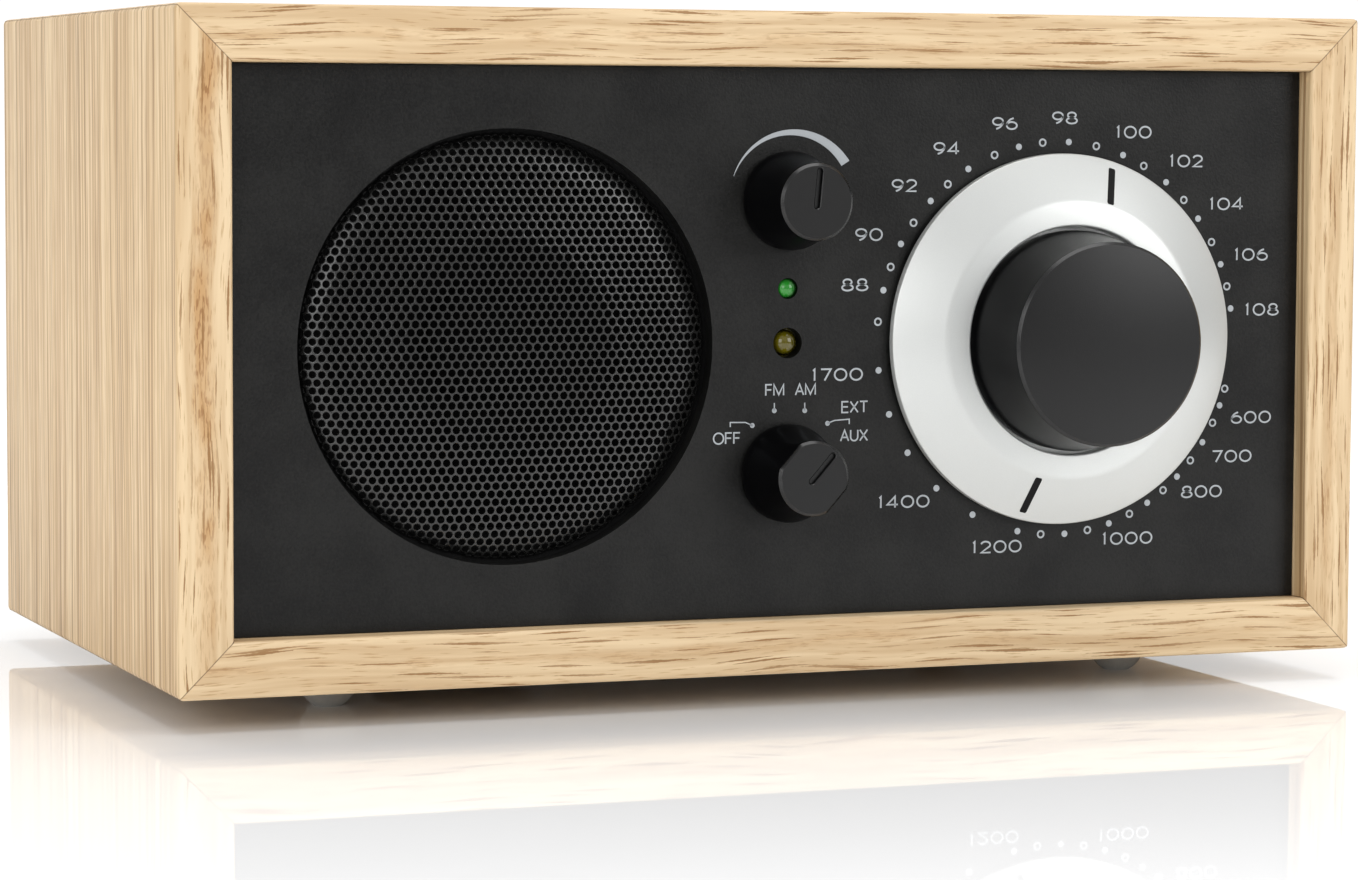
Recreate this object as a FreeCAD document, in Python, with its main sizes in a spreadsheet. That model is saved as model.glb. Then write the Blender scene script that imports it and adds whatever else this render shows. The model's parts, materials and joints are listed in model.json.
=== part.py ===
"""Table radio in a mitred wooden cabinet, built as separate pieces.

Frame: origin on the surface the feet stand on, under the middle of the box that holds the
whole radio, from the tuning knob's face to the end of the aerial socket.
+X runs to the right of someone facing the radio, +Y runs from the front to the back, +Z is up.
Lengths are millimetres.
"""
import math
import os

import FreeCAD
import Part
import Sketcher

doc = FreeCAD.newDocument("TableRadio")
PARTS = []


# ---------------------------------------------------------------- sizes

class Size:
    """A number together with the sheet formula that it comes from."""

    def __init__(self, value, formula):
        self.value = value
        self.formula = formula

    def __add__(self, other):
        other = as_size(other)
        return Size(self.value + other.value, f"({self.formula} + {other.formula})")

    def __sub__(self, other):
        other = as_size(other)
        return Size(self.value - other.value, f"({self.formula} - {other.formula})")

    def __mul__(self, other):
        other = as_size(other)
        return Size(self.value * other.value, f"({self.formula} * {other.formula})")

    def __truediv__(self, other):
        other = as_size(other)
        return Size(self.value / other.value, f"({self.formula} / {other.formula})")

    def __neg__(self):
        return Size(-self.value, f"(-1 * {self.formula})")

    __radd__ = __add__
    __rmul__ = __mul__

    def __rsub__(self, other):
        return as_size(other) - self


def as_size(number):
    if isinstance(number, Size):
        return number
    return Size(float(number), f"{float(number):.6f}")


DRIVING = {
    # cabinet
    "cabinet_width": 213.0,
    "cabinet_depth": 133.0,
    "cabinet_height": 111.4,
    "board_thickness": 9.3,
    "edge_round": 1.5,
    "end_round": 1.1,
    "foot_height": 5.5,
    "foot_radius": 4.8,
    "foot_spacing_x": 148.0,
    "foot_spacing_y": 79.0,
    "front_recess": 4.1,
    "panel_thickness": 3.0,
    "panel_gap": 0.15,
    "rear_recess": 3.0,
    "batten_width": 8.0,
    "batten_depth": 10.0,
    "block_size": 12.0,
    "screw_radius": 1.5,
    "screw_head_radius": 2.8,
    "screw_head_height": 1.8,
    "screw_inset": 12.0,
    "screw_bite": 2.0,
    "fixed_ease": 0.02,
    "panel_ease": 0.05,
    # speaker
    "speaker_x": -49.6,
    "speaker_hole_radius": 36.0,
    "speaker_flange_radius": 38.4,
    "grille_gap": 0.5,
    "grille_skin": 1.0,
    "grille_crown": 1.2,
    "surround_rim": 0.8,
    "basket_rim": 1.5,
    "basket_depth": 20.0,
    "basket_wall": 1.2,
    "cone_depth": 12.5,
    "motor_plate": 4.0,
    "motor_plate_radius": 19.0,
    "magnet_length": 10.5,
    "magnet_radius": 22.0,
    "magnet_hole_radius": 12.0,
    "cone_radius": 30.0,
    "coil_radius": 8.0,
    "port_x": -38.5,
    "port_y": 2.0,
    "port_radius": 14.2,
    "port_wall": 1.4,
    "port_length": 56.0,
    # tuning
    "dial_x": 50.4,
    "dial_radius": 32.0,
    "dial_crease_radius": 23.7,
    "dial_inner_radius": 19.6,
    "dial_rim_stand_off": 2.2,
    "dial_crease_stand_off": 6.4,
    "dial_inner_stand_off": 7.0,
    "knob_base_radius": 18.9,
    "knob_front_radius": 17.3,
    "knob_stand_off": 21.8,
    "shaft_radius": 3.0,
    "running_fit": 0.05,
    "sleeve_radius": 5.0,
    "bushing_radius": 7.5,
    "gear_module": 0.75,
    "sun_teeth": 12,
    "planet_teeth": 18,
    "ring_teeth": 48,
    "pin_radius": 1.5,
    "gear_width": 4.6,
    "carrier_plate": 1.2,
    "carrier_margin": 3.4,
    "shaft_stand_off": 19.0,
    "capacitor_plate_radius": 14.0,
    "capacitor_plate": 0.6,
    "capacitor_pitch": 2.8,
    "capacitor_frame_half": 21.5,
    "capacitor_frame_wall": 1.5,
    "stator_half": 16.0,
    # the two small controls
    "volume_height": 79.7,
    "selector_height": 33.7,
    "control_base_radius": 8.3,
    "control_bushing_radius": 3.5,
    "control_nut_flats": 10.0,
    "tuning_nut_flats": 19.0,
    "nut_thickness": 2.0,
    "volume_front_radius": 6.5,
    "selector_front_radius": 6.35,
    "volume_stand_off": 12.9,
    "selector_stand_off": 12.3,
    "volume_turn": 5.4,
    "selector_turn": 42.0,
    # lamps
    "green_lamp_height": 64.9,
    "amber_lamp_height": 55.7,
    "green_lamp_radius": 1.75,
    "amber_lamp_radius": 2.25,
    # rear
    "jack_row_height": 84.0,
    "jack_bore_radius": 1.78,
    "jack_collar_radius": 3.0,
    "dc_collar_radius": 4.0,
    "dc_bore_radius": 2.85,
    "dc_pin_radius": 1.05,
    "mains_pin_radius": 1.2,
    "mains_pin_spacing": 8.6,
    "aerial_bore_radius": 1.6,
    "aerial_collar_radius": 5.0,
    "inlet_height": 56.0,
    "aerial_reach": 9.0,
    "aerial_thread_radius": 4.7,
    # electronics
    "main_board_height": 17.5,
    "main_board_thickness": 1.6,
    "ferrite_radius": 5.0,
    "ferrite_length": 100.0,
}


def make_sheet():
    """Every driving size sits in one sheet cell, whose alias is its name."""
    sheet = doc.addObject("Spreadsheet::Sheet", "Sizes")
    for row, (name, number) in enumerate(DRIVING.items(), start=1):
        sheet.set(f"A{row}", name)
        sheet.set(f"B{row}", str(number))
        sheet.setAlias(f"B{row}", name)
    doc.recompute()


make_sheet()


def size(name):
    return Size(DRIVING[name], f"Sizes.{name}")


# ---------------------------------------------------------------- places worked out from the sizes

CABINET_BOTTOM = size("foot_height")
CABINET_TOP = CABINET_BOTTOM + size("cabinet_height")
HALF_WIDTH = size("cabinet_width") / 2
FRONT_REACH = size("knob_stand_off") - size("front_recess")
REAR_REACH = size("aerial_reach") - size("rear_recess")
CENTRE_Y = (FRONT_REACH - REAR_REACH) / 2
FRONT_Y = CENTRE_Y - size("cabinet_depth") / 2
BACK_Y = CENTRE_Y + size("cabinet_depth") / 2
INNER_X = HALF_WIDTH - size("board_thickness")
INNER_BOTTOM = CABINET_BOTTOM + size("board_thickness")
INNER_TOP = CABINET_TOP - size("board_thickness")
AXIS_Z = CABINET_BOTTOM + size("cabinet_height") / 2
PANEL_FRONT = FRONT_Y + size("front_recess")
PANEL_BACK = PANEL_FRONT + size("panel_thickness")
REAR_OUTER = BACK_Y - size("rear_recess")
REAR_INNER = REAR_OUTER - size("panel_thickness")
VOLUME_Z = CABINET_BOTTOM + size("volume_height")
SELECTOR_Z = CABINET_BOTTOM + size("selector_height")
JACK_Z = CABINET_BOTTOM + size("jack_row_height")
INLET_Z = CABINET_BOTTOM + size("inlet_height")
BOARD_Z = CABINET_BOTTOM + size("main_board_height")
BOARD_TOP_Z = BOARD_Z + size("main_board_thickness")
PORT_Y = CENTRE_Y + size("port_y")
SQRT_HALF = math.sqrt(0.5)
FIXED_EASE = size("fixed_ease")
PANEL_EASE = size("panel_ease")
# how far a cutting shape runs past the face that it cuts, and one solid into the next
PAST = 1.0
JOIN = 0.2


# ---------------------------------------------------------------- helpers

def bind(thing, prop, amount):
    """Ties one property of an object to its sheet formula."""
    thing.setExpression(prop, as_size(amount).formula)


def place(thing, x=0, y=0, z=0, turn=None):
    """Moves an object to a bound place, turned by a bound angle about +Y where one is given."""
    if turn is not None:
        rotation = FreeCAD.Rotation(FreeCAD.Vector(0, 1, 0), as_size(turn).value)
        thing.Placement = FreeCAD.Placement(FreeCAD.Vector(), rotation)
        bind(thing, "Placement.Rotation.Angle", turn)
    bind(thing, "Placement.Base.x", x)
    bind(thing, "Placement.Base.y", y)
    bind(thing, "Placement.Base.z", z)


def keep(thing, label):
    """Names a finished sub-part and puts it on the list that is written out."""
    thing.Label = label
    PARTS.append(thing)
    return thing


def new_body(label):
    body = doc.addObject("PartDesign::Body", label)
    body.AllowCompound = True
    return body


def plane_of(body, role):
    return next(f for f in body.Origin.OriginFeatures if f.Role == role)


def new_sketch(body, role, offset=0):
    """A sketch on one origin plane of its body, moved along the plane's normal.

    XY_Plane faces +Z, XZ_Plane faces -Y and YZ_Plane faces +X.
    """
    sketch = body.newObject("Sketcher::SketchObject", "Sketch")
    sketch.AttachmentSupport = [(plane_of(body, role), "")]
    sketch.MapMode = "FlatFace"
    bind(sketch, "AttachmentOffset.Base.z", offset)
    return sketch


def pin_point(sketch, geometry, position, x, y):
    """Fixes a sketch point at bound coordinates."""
    for kind, axis, amount in (("DistanceX", -2, as_size(x)), ("DistanceY", -1, as_size(y))):
        if abs(amount.value) < 1e-9:
            sketch.addConstraint(Sketcher.Constraint("PointOnObject", geometry, position, axis))
            continue
        index = sketch.addConstraint(
            Sketcher.Constraint(kind, -1, 1, geometry, position, amount.value))
        bind(sketch, f"Constraints[{index}]", amount)


def arc_between(start, end, radius):
    """The shorter arc from start to end; a positive radius turns left, a negative one right."""
    chord = end - start
    left = FreeCAD.Vector(-chord.y, chord.x, 0).normalize()
    rise = math.sqrt(max(radius * radius - chord.Length ** 2 / 4, 0))
    centre = (start + end) / 2 + left * math.copysign(rise, radius)
    first, last = (start, end) if radius > 0 else (end, start)
    angles = [math.atan2(p.y - centre.y, p.x - centre.x) for p in (first, last)]
    if angles[1] < angles[0]:
        angles[1] += 2 * math.pi
    circle = Part.Circle(centre, FreeCAD.Vector(0, 0, 1), abs(radius))
    return Part.ArcOfCircle(circle, angles[0], angles[1])


def outline(sketch, points):
    """A closed outline through bound points.

    A point is (x, y), or (x, y, radius) where an arc leads to it from the point before.
    """
    corners = [FreeCAD.Vector(as_size(p[0]).value, as_size(p[1]).value, 0) for p in points]
    edges = []
    for i, point in enumerate(points):
        start, end = corners[i - 1], corners[i]
        if len(point) == 2:
            edges.append((sketch.addGeometry(Part.LineSegment(start, end)), 1, 2))
            continue
        radius = as_size(point[2])
        index = sketch.addGeometry(arc_between(start, end, radius.value))
        edges.append((index, 1, 2) if radius.value > 0 else (index, 2, 1))
    for i, (index, _, end_position) in enumerate(edges):
        after, start_position, _ = edges[(i + 1) % len(edges)]
        sketch.addConstraint(
            Sketcher.Constraint("Coincident", index, end_position, after, start_position))
        pin_point(sketch, index, end_position, points[i][0], points[i][1])
    for (index, _, _), point in zip(edges, points):
        if len(point) == 3:
            radius = as_size(point[2])
            length = radius if radius.value > 0 else -radius
            rule = sketch.addConstraint(Sketcher.Constraint("Radius", index, length.value))
            bind(sketch, f"Constraints[{rule}]", length)


def rectangle(sketch, x0, y0, x1, y1):
    outline(sketch, [(x0, y0), (x1, y0), (x1, y1), (x0, y1)])


def circle(sketch, x, y, radius):
    radius = as_size(radius)
    centre = FreeCAD.Vector(as_size(x).value, as_size(y).value, 0)
    index = sketch.addGeometry(Part.Circle(centre, FreeCAD.Vector(0, 0, 1), radius.value))
    pin_point(sketch, index, 3, x, y)
    rule = sketch.addConstraint(Sketcher.Constraint("Radius", index, radius.value))
    bind(sketch, f"Constraints[{rule}]", radius)


def hexagon(sketch, x, y, across_flats):
    reach = as_size(across_flats) / math.sqrt(3)
    points = []
    for k in range(6):
        angle = math.radians(60 * k)
        points.append((x + reach * math.cos(angle), y + reach * math.sin(angle)))
    outline(sketch, points)


def stadium(sketch, x, y0, y1, half_width):
    """A slot with round ends that runs along the sketch's own Y."""
    outline(sketch, [
        (x + half_width, y0, half_width), (x + half_width, y1),
        (x, y1 + half_width, half_width), (x - half_width, y1, half_width),
        (x - half_width, y0), (x, y0 - half_width, half_width)])


def pad(body, sketch, length):
    feature = body.newObject("PartDesign::Pad", "Pad")
    feature.Profile = sketch
    bind(feature, "Length", length)
    return feature


def pocket(body, sketch, depth, reverse=False, both_ways=False):
    """Cuts against the sketch's normal, or along it when reversed."""
    feature = body.newObject("PartDesign::Pocket", "Pocket")
    feature.Profile = sketch
    feature.Reversed = reverse
    if both_ways:
        feature.Midplane = True
    bind(feature, "Length", depth)
    return feature


def revolve(body, sketch):
    feature = body.newObject("PartDesign::Revolution", "Revolution")
    feature.Profile = sketch
    feature.ReferenceAxis = (sketch, ["V_Axis"])
    feature.Angle = 360
    return feature


def round_pattern(body, feature, axis_role, count):
    """Repeats a feature about one of the body's origin axes."""
    pattern = body.newObject("PartDesign::PolarPattern", "PolarPattern")
    pattern.Originals = [feature]
    pattern.Axis = (plane_of(body, axis_role), [""])
    pattern.Angle = 360
    pattern.Occurrences = count
    body.Tip = pattern
    return pattern


def layer(body, role, offset, thickness, draw):
    """Pads one drawn outline between offset and offset + thickness along the plane's normal."""
    sketch = new_sketch(body, role, offset)
    draw(sketch)
    return pad(body, sketch, thickness)


def between_y(body, near_y, far_y, draw):
    """Pads an outline drawn in X and Z from far_y forward to near_y."""
    return layer(body, "XZ_Plane", -as_size(far_y), as_size(far_y) - near_y, draw)


def between_z(body, low_z, high_z, draw):
    """Pads an outline drawn in X and Y from low_z up to high_z."""
    return layer(body, "XY_Plane", low_z, as_size(high_z) - low_z, draw)


def turned(label, x, z, *profiles):
    """A piece turned about an axis along Y; each profile lists (radius, y)."""
    body = new_body(label)
    for profile in profiles:
        sketch = new_sketch(body, "XY_Plane")
        outline(sketch, profile)
        revolve(body, sketch)
    place(body, x=x, z=z)
    return keep(body, label)


def tube_profile(inner, outer, near_y, far_y):
    return [(inner, near_y), (outer, near_y), (outer, far_y), (inner, far_y)]


def block(label, x0, x1, y0, y1, z0, z1):
    """A plain rectangular piece between six bound faces."""
    box = doc.addObject("Part::Box", label)
    bind(box, "Length", as_size(x1) - x0)
    bind(box, "Width", as_size(y1) - y0)
    bind(box, "Height", as_size(z1) - z0)
    place(box, x0, y0, z0)
    return box


def rod(label, x, y, z, radius, length, direction):
    """A plain cylinder that starts at a point and runs along X, Y or Z."""
    cylinder = doc.addObject("Part::Cylinder", label)
    bind(cylinder, "Radius", radius)
    bind(cylinder, "Height", length)
    turns = {"X": FreeCAD.Rotation(FreeCAD.Vector(0, 1, 0), 90),
             "Y": FreeCAD.Rotation(FreeCAD.Vector(1, 0, 0), -90),
             "Z": FreeCAD.Rotation()}
    cylinder.Placement = FreeCAD.Placement(FreeCAD.Vector(), turns[direction])
    bind(cylinder, "Placement.Base.x", x)
    bind(cylinder, "Placement.Base.y", y)
    bind(cylinder, "Placement.Base.z", z)
    return cylinder


def fused(label, pieces):
    join = doc.addObject("Part::MultiFuse", label)
    join.Shapes = pieces
    return join


def cut(label, base, tool):
    difference = doc.addObject("Part::Cut", label)
    difference.Base = base
    difference.Tool = tool
    return difference


def group(label, pieces):
    """Separate solids of one kind that share a node."""
    compound = doc.addObject("Part::Compound", label)
    compound.Links = pieces
    return keep(compound, label)


# ---------------------------------------------------------------- cabinet

def cabinet_board(label, corners, holes=()):
    """One mitred board, drawn in X and Z and run from the front to the back."""
    body = new_body(label)

    def draw(sketch):
        outline(sketch, corners)
    between_y(body, FRONT_Y, BACK_Y, draw)
    doc.recompute()
    soften_board(body, size("end_round"))
    for make_hole in holes:
        make_hole(body)
    return keep(body, label)


def soften_board(body, radius):
    """Rounds the long edges at the two open ends of the cabinet."""
    base = body.Tip
    picked = []
    for number, edge in enumerate(base.Shape.Edges, start=1):
        box = edge.BoundBox
        at_end = min(abs(box.YMin - FRONT_Y.value), abs(box.YMin - BACK_Y.value)) < 1e-6
        at_end = at_end and box.YLength < 1e-6
        if at_end and not on_mitre(edge):
            picked.append(f"Edge{number}")
    fillet = body.newObject("PartDesign::Fillet", "EndRound")
    fillet.Base = (base, picked)
    bind(fillet, "Radius", radius)
    body.Tip = fillet


def on_mitre(edge):
    """True for the short 45 degree edges where two boards meet."""
    box = edge.BoundBox
    thickness = DRIVING["board_thickness"] - 1
    return abs(box.XLength - box.ZLength) < 1e-6 and box.XLength > thickness


def mitred_outline(half_width, bottom, top):
    """The corner points that the four boards share, each a function of which corner it is."""
    round_in = size("edge_round") * (1 - SQRT_HALF)
    radius = size("edge_round")
    thick = size("board_thickness")

    def corner(side, level):
        x_outer = half_width if side > 0 else -half_width
        z_outer = top if level > 0 else bottom
        return {
            "mitre": (x_outer - side * round_in, z_outer - level * round_in),
            "flat_x": (x_outer, z_outer - level * radius),
            "flat_z": (x_outer - side * radius, z_outer),
            "inner": (x_outer - side * thick, z_outer - level * thick),
        }
    return corner


def cabinet():
    corner = mitred_outline(HALF_WIDTH, CABINET_BOTTOM, CABINET_TOP)
    radius = size("edge_round")
    left_top, right_top = corner(-1, 1), corner(1, 1)
    left_low, right_low = corner(-1, -1), corner(1, -1)

    cabinet_board("cabinet_top", [
        left_top["inner"], left_top["mitre"], (*left_top["flat_z"], -radius),
        right_top["flat_z"], (*right_top["mitre"], -radius), right_top["inner"]])
    cabinet_board("cabinet_right", [
        right_top["inner"], right_top["mitre"], (*right_top["flat_x"], -radius),
        right_low["flat_x"], (*right_low["mitre"], -radius), right_low["inner"]])
    cabinet_board("cabinet_bottom", [
        right_low["inner"], right_low["mitre"], (*right_low["flat_z"], -radius),
        left_low["flat_z"], (*left_low["mitre"], -radius), left_low["inner"]],
        holes=[port_hole])
    cabinet_board("cabinet_left", [
        left_low["inner"], left_low["mitre"], (*left_low["flat_x"], -radius),
        left_top["flat_x"], (*left_top["mitre"], -radius), left_top["inner"]])


def port_hole(body):
    sketch = new_sketch(body, "XY_Plane", INNER_BOTTOM + PAST)
    circle(sketch, size("port_x"), PORT_Y, size("port_radius") + size("port_wall"))
    pocket(body, sketch, size("board_thickness") + 2 * PAST)


def bass_port_tube():
    """The tuned tube that opens under the cabinet, flared a little at its mouth."""
    body = new_body("bass_port_tube")
    inner = size("port_radius")
    outer = inner + size("port_wall")
    low = CABINET_BOTTOM
    high = low + size("port_length")
    flare, flare_depth = 1.2, 2.0
    sketch = new_sketch(body, "XZ_Plane")
    outline(sketch, [(inner, low + flare_depth), (inner + flare, low), (outer, low),
                     (outer, high), (inner, high)])
    revolve(body, sketch)
    place(body, size("port_x"), PORT_Y, 0)
    keep(body, "bass_port_tube")


def feet():
    """Four clear domed bumpers stuck under the corners."""
    pieces = []
    radius = size("foot_radius")
    tread = radius * 0.5
    dome_top = size("foot_height") * 0.62
    for side_x in (-1, 1):
        for side_y in (-1, 1):
            body = new_body("foot")
            sketch = new_sketch(body, "XZ_Plane")
            outline(sketch, [(0, 0), (tread, 0), (radius, dome_top, radius),
                             (radius, size("foot_height")), (0, size("foot_height"))])
            revolve(body, sketch)
            place(body, side_x * size("foot_spacing_x") / 2,
                  CENTRE_Y + side_y * size("foot_spacing_y") / 2)
            pieces.append(body)
    group("feet", pieces)


def front_battens():
    """Two upright strips glued behind the front panel's ends."""
    strips = []
    for number, side in enumerate((-1, 1)):
        outer = side * INNER_X
        inner = outer - side * size("batten_width")
        low_x, high_x = (outer, inner) if side < 0 else (inner, outer)
        strip = block(f"batten_{number}", low_x, high_x, PANEL_BACK,
                      PANEL_BACK + size("batten_depth"), INNER_BOTTOM, INNER_TOP)
        holes = fused(f"batten_holes_{number}", [
            rod(f"batten_hole_{number}_{level}", side * SCREW_X, PANEL_BACK - PAST, z,
                SCREW_HOLE, size("batten_depth") + 2 * PAST, "Y")
            for level, z in enumerate(SCREW_LEVELS)])
        strips.append(cut(f"batten_drilled_{number}", strip, holes))
    group("front_battens", strips)


SCREW_X = INNER_X - size("batten_width") / 2
SCREW_LEVELS = (INNER_BOTTOM + size("screw_inset"), INNER_TOP - size("screw_inset"))
SCREW_HOLE = size("screw_radius") + FIXED_EASE
SCREW_TIP = PANEL_BACK - size("screw_bite")
SCREW_TO_RIM = 0.2
SPEAKER_SCREW_REACH = size("speaker_flange_radius") + size("screw_radius") + SCREW_TO_RIM
SPEAKER_SCREWS = [
    (size("speaker_x") + SPEAKER_SCREW_REACH * math.cos(math.radians(angle)),
     AXIS_Z + SPEAKER_SCREW_REACH * math.sin(math.radians(angle))) for angle in (45, 135, 225, 315)]


def screw(name, x, z, tip_y, seat_y):
    """A round-headed screw driven towards the front, whose head sits on the plane seat_y."""
    shank = rod(f"{name}_shank", x, tip_y, z, size("screw_radius"), seat_y - tip_y, "Y")
    head = rod(f"{name}_head", x, seat_y, z, size("screw_head_radius"),
               size("screw_head_height"), "Y")
    return fused(name, [shank, head])


def front_panel_screws():
    pieces = []
    for side in (-1, 1):
        for level, z in enumerate(SCREW_LEVELS):
            pieces.append(screw(f"front_screw_{side}_{level}", side * SCREW_X, z, SCREW_TIP,
                                PANEL_BACK + size("batten_depth")))
    group("front_panel_screws", pieces)


def front_panel():
    """The flat metal front, with holes for the speaker, the controls and the two lamps."""
    body = new_body("front_panel")
    reach_x = INNER_X - size("panel_gap")
    low = INNER_BOTTOM + size("panel_gap")
    high = INNER_TOP - size("panel_gap")
    amber_gap = 0.35

    def draw(sketch):
        rectangle(sketch, -reach_x, low, reach_x, high)
        circle(sketch, size("speaker_x"), AXIS_Z, size("speaker_hole_radius"))
        circle(sketch, size("dial_x"), AXIS_Z, size("bushing_radius") + PANEL_EASE)
        circle(sketch, 0, VOLUME_Z, CONTROL_BUSHING + PANEL_EASE)
        circle(sketch, 0, SELECTOR_Z, CONTROL_BUSHING + PANEL_EASE)
        circle(sketch, 0, CABINET_BOTTOM + size("green_lamp_height"),
               size("green_lamp_radius") + FIXED_EASE)
        circle(sketch, 0, CABINET_BOTTOM + size("amber_lamp_height"),
               size("amber_lamp_radius") + amber_gap)
    between_y(body, PANEL_FRONT, PANEL_BACK, draw)
    holes = new_sketch(body, "XZ_Plane", -PANEL_BACK)
    for side in (-1, 1):
        for z in SCREW_LEVELS:
            circle(holes, side * SCREW_X, z, SCREW_HOLE)
    for x, z in SPEAKER_SCREWS:
        circle(holes, x, z, SCREW_HOLE)
    pocket(body, holes, size("screw_bite") + PANEL_EASE, reverse=True)
    keep(body, "front_panel")


CONTROL_BUSHING = size("control_bushing_radius")
NUT_FRONT = PANEL_FRONT - size("nut_thickness")


# ---------------------------------------------------------------- speaker

GRILLE_FLANGE_BACK = PANEL_BACK + size("grille_skin")
SURROUND_BACK = GRILLE_FLANGE_BACK + size("surround_rim")
BASKET_FLANGE_BACK = SURROUND_BACK + size("basket_rim")
CONE_FRONT = GRILLE_FLANGE_BACK + size("surround_rim")
CONE_BACK = CONE_FRONT + size("cone_depth")
BASKET_FLOOR = BASKET_FLANGE_BACK + size("basket_depth")
TOP_PLATE_BACK = BASKET_FLOOR + size("motor_plate")
MAGNET_BACK = TOP_PLATE_BACK + size("magnet_length")
YOKE_BACK = MAGNET_BACK + size("motor_plate")


def speaker_grille():
    """A black domed grille: a flange behind the panel and a crown with a rounded shoulder."""
    rim = size("speaker_hole_radius") - size("grille_gap")
    skin = size("grille_skin")
    flange = size("speaker_flange_radius")
    crown = PANEL_FRONT - size("grille_crown")
    dome_edge, side_top = PANEL_FRONT + 0.3, PANEL_FRONT + 2.8
    inner_edge, inner_side_top = PANEL_FRONT + 1.4, PANEL_FRONT + 3.1
    shoulder, inner_shoulder = rim - 3, rim - 3.4
    dome_radius, round_out, round_in = 300, 4.2, 3.2
    turned("speaker_grille", size("speaker_x"), AXIS_Z, [
        (0, crown), (shoulder, dome_edge, dome_radius), (rim, side_top, round_out),
        (rim, PANEL_BACK), (flange, PANEL_BACK), (flange, GRILLE_FLANGE_BACK),
        (rim - skin, GRILLE_FLANGE_BACK), (rim - skin, inner_side_top),
        (inner_shoulder, inner_edge, -round_in), (0, crown + skin, -dome_radius)])


def speaker_basket():
    """Pressed steel frame: flange, sloping wall with six windows and a floor ring."""
    body = new_body("speaker_basket")
    flange = size("speaker_flange_radius")
    inside_floor = BASKET_FLOOR - size("basket_wall")
    lip, neck, inner_neck = 34.4, 34.8, 33.6
    floor_rim, inner_floor_rim, floor_hole = 21.5, 20.8, 10.5
    sketch = new_sketch(body, "XY_Plane")
    outline(sketch, [
        (lip, SURROUND_BACK), (flange, SURROUND_BACK), (flange, BASKET_FLANGE_BACK),
        (neck, BASKET_FLANGE_BACK), (floor_rim, BASKET_FLOOR), (floor_hole, BASKET_FLOOR),
        (floor_hole, inside_floor), (inner_floor_rim, inside_floor),
        (inner_neck, BASKET_FLANGE_BACK - 0.3)])
    revolve(body, sketch)
    window = new_sketch(body, "XZ_Plane", -inside_floor)
    inner, outer, half = 23.5, 32.0, math.radians(21)
    outline(window, [
        (inner * math.cos(half), -inner * math.sin(half), -inner),
        (outer * math.cos(half), -outer * math.sin(half)),
        (outer * math.cos(half), outer * math.sin(half), outer),
        (inner * math.cos(half), inner * math.sin(half))])
    opening = pocket(body, window, 3 * size("basket_depth"), both_ways=True)
    round_pattern(body, opening, "Y_Axis", 6)
    place(body, x=size("speaker_x"), z=AXIS_Z)
    keep(body, "speaker_basket")


def speaker_motor():
    """Top plate, ring magnet and yoke with its centre pole, with a gap for the coil."""
    x, z = size("speaker_x"), AXIS_Z
    gap_outer = size("coil_radius") + 0.9
    pole = size("coil_radius") - 0.8
    pole_front = BASKET_FLOOR - 0.5
    plate = size("motor_plate_radius")
    turned("speaker_top_plate", x, z,
           tube_profile(gap_outer, plate, BASKET_FLOOR, TOP_PLATE_BACK))
    turned("speaker_magnet", x, z,
           tube_profile(size("magnet_hole_radius"), size("magnet_radius"),
                        TOP_PLATE_BACK, MAGNET_BACK))
    turned("speaker_yoke", x, z, [
        (0, pole_front), (pole, pole_front), (pole, MAGNET_BACK), (plate, MAGNET_BACK),
        (plate, YOKE_BACK), (0, YOKE_BACK)])


def speaker_moving_parts():
    """Paper cone, dust cap and coil, hung on a rubber surround and a corrugated spider."""
    x, z = size("speaker_x"), AXIS_Z
    coil = size("coil_radius")
    edge = size("cone_radius")
    paper = 0.5
    neck = coil + 0.25
    cone_curve = 60
    turned("speaker_cone", x, z, [
        (edge, CONE_FRONT), (edge, CONE_FRONT + paper), (neck, CONE_BACK + paper, cone_curve),
        (neck, CONE_BACK - 0.3), (edge - 0.9, CONE_FRONT, -cone_curve)])
    cap_edge, cap_curve = 9.4, 15.4
    cap_crown, cap_front, cap_back = CONE_BACK - 6.2, CONE_BACK - 3.0, CONE_BACK - 2.6
    turned("speaker_dust_cap", x, z, [
        (0, cap_crown), (cap_edge, cap_front, cap_curve), (cap_edge, cap_back),
        (cap_edge - paper, cap_back), (0, cap_crown + paper, 0.4 - cap_curve)])
    former, wire = coil - 0.3, coil + 0.4
    former_front, coil_front, coil_back = CONE_BACK - 2, BASKET_FLOOR - 2, TOP_PLATE_BACK + 2
    turned("voice_coil", x, z, [
        (former, former_front), (coil, former_front), (coil, coil_front), (wire, coil_front),
        (wire, coil_back), (former, coil_back)])
    roll = 1.75
    turned("speaker_surround", x, z, [
        (edge + 0.1, GRILLE_FLANGE_BACK), (edge + 0.1, CONE_FRONT - 0.05),
        (edge + 0.3, CONE_FRONT + 0.25), (edge + 3.4, CONE_FRONT + 0.25, -roll),
        (edge + 3.4, SURROUND_BACK), (size("speaker_flange_radius"), SURROUND_BACK),
        (size("speaker_flange_radius"), GRILLE_FLANGE_BACK), (edge + 3.0, GRILLE_FLANGE_BACK),
        (edge + 0.7, GRILLE_FLANGE_BACK, roll * 0.8)])
    spider(x, z, coil)


def spider(x, z, coil):
    """A corrugated cloth disc between the coil and the basket floor."""
    start = coil + FIXED_EASE
    level = BASKET_FLOOR - 5.4
    cloth = 0.35
    lead_in, pitch, height, folds = 1.2, 1.3, 0.9, 7
    wave = [(start + lead_in + pitch * k, level + (height if k % 2 else -height))
            for k in range(folds)]
    front = [(start, level)] + wave + [
        (19.6, level), (20.6, BASKET_FLOOR - size("basket_wall") - cloth)]
    back = [(radius, y + cloth) for radius, y in front]
    turned("speaker_spider", x, z, front + back[::-1])


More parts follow.
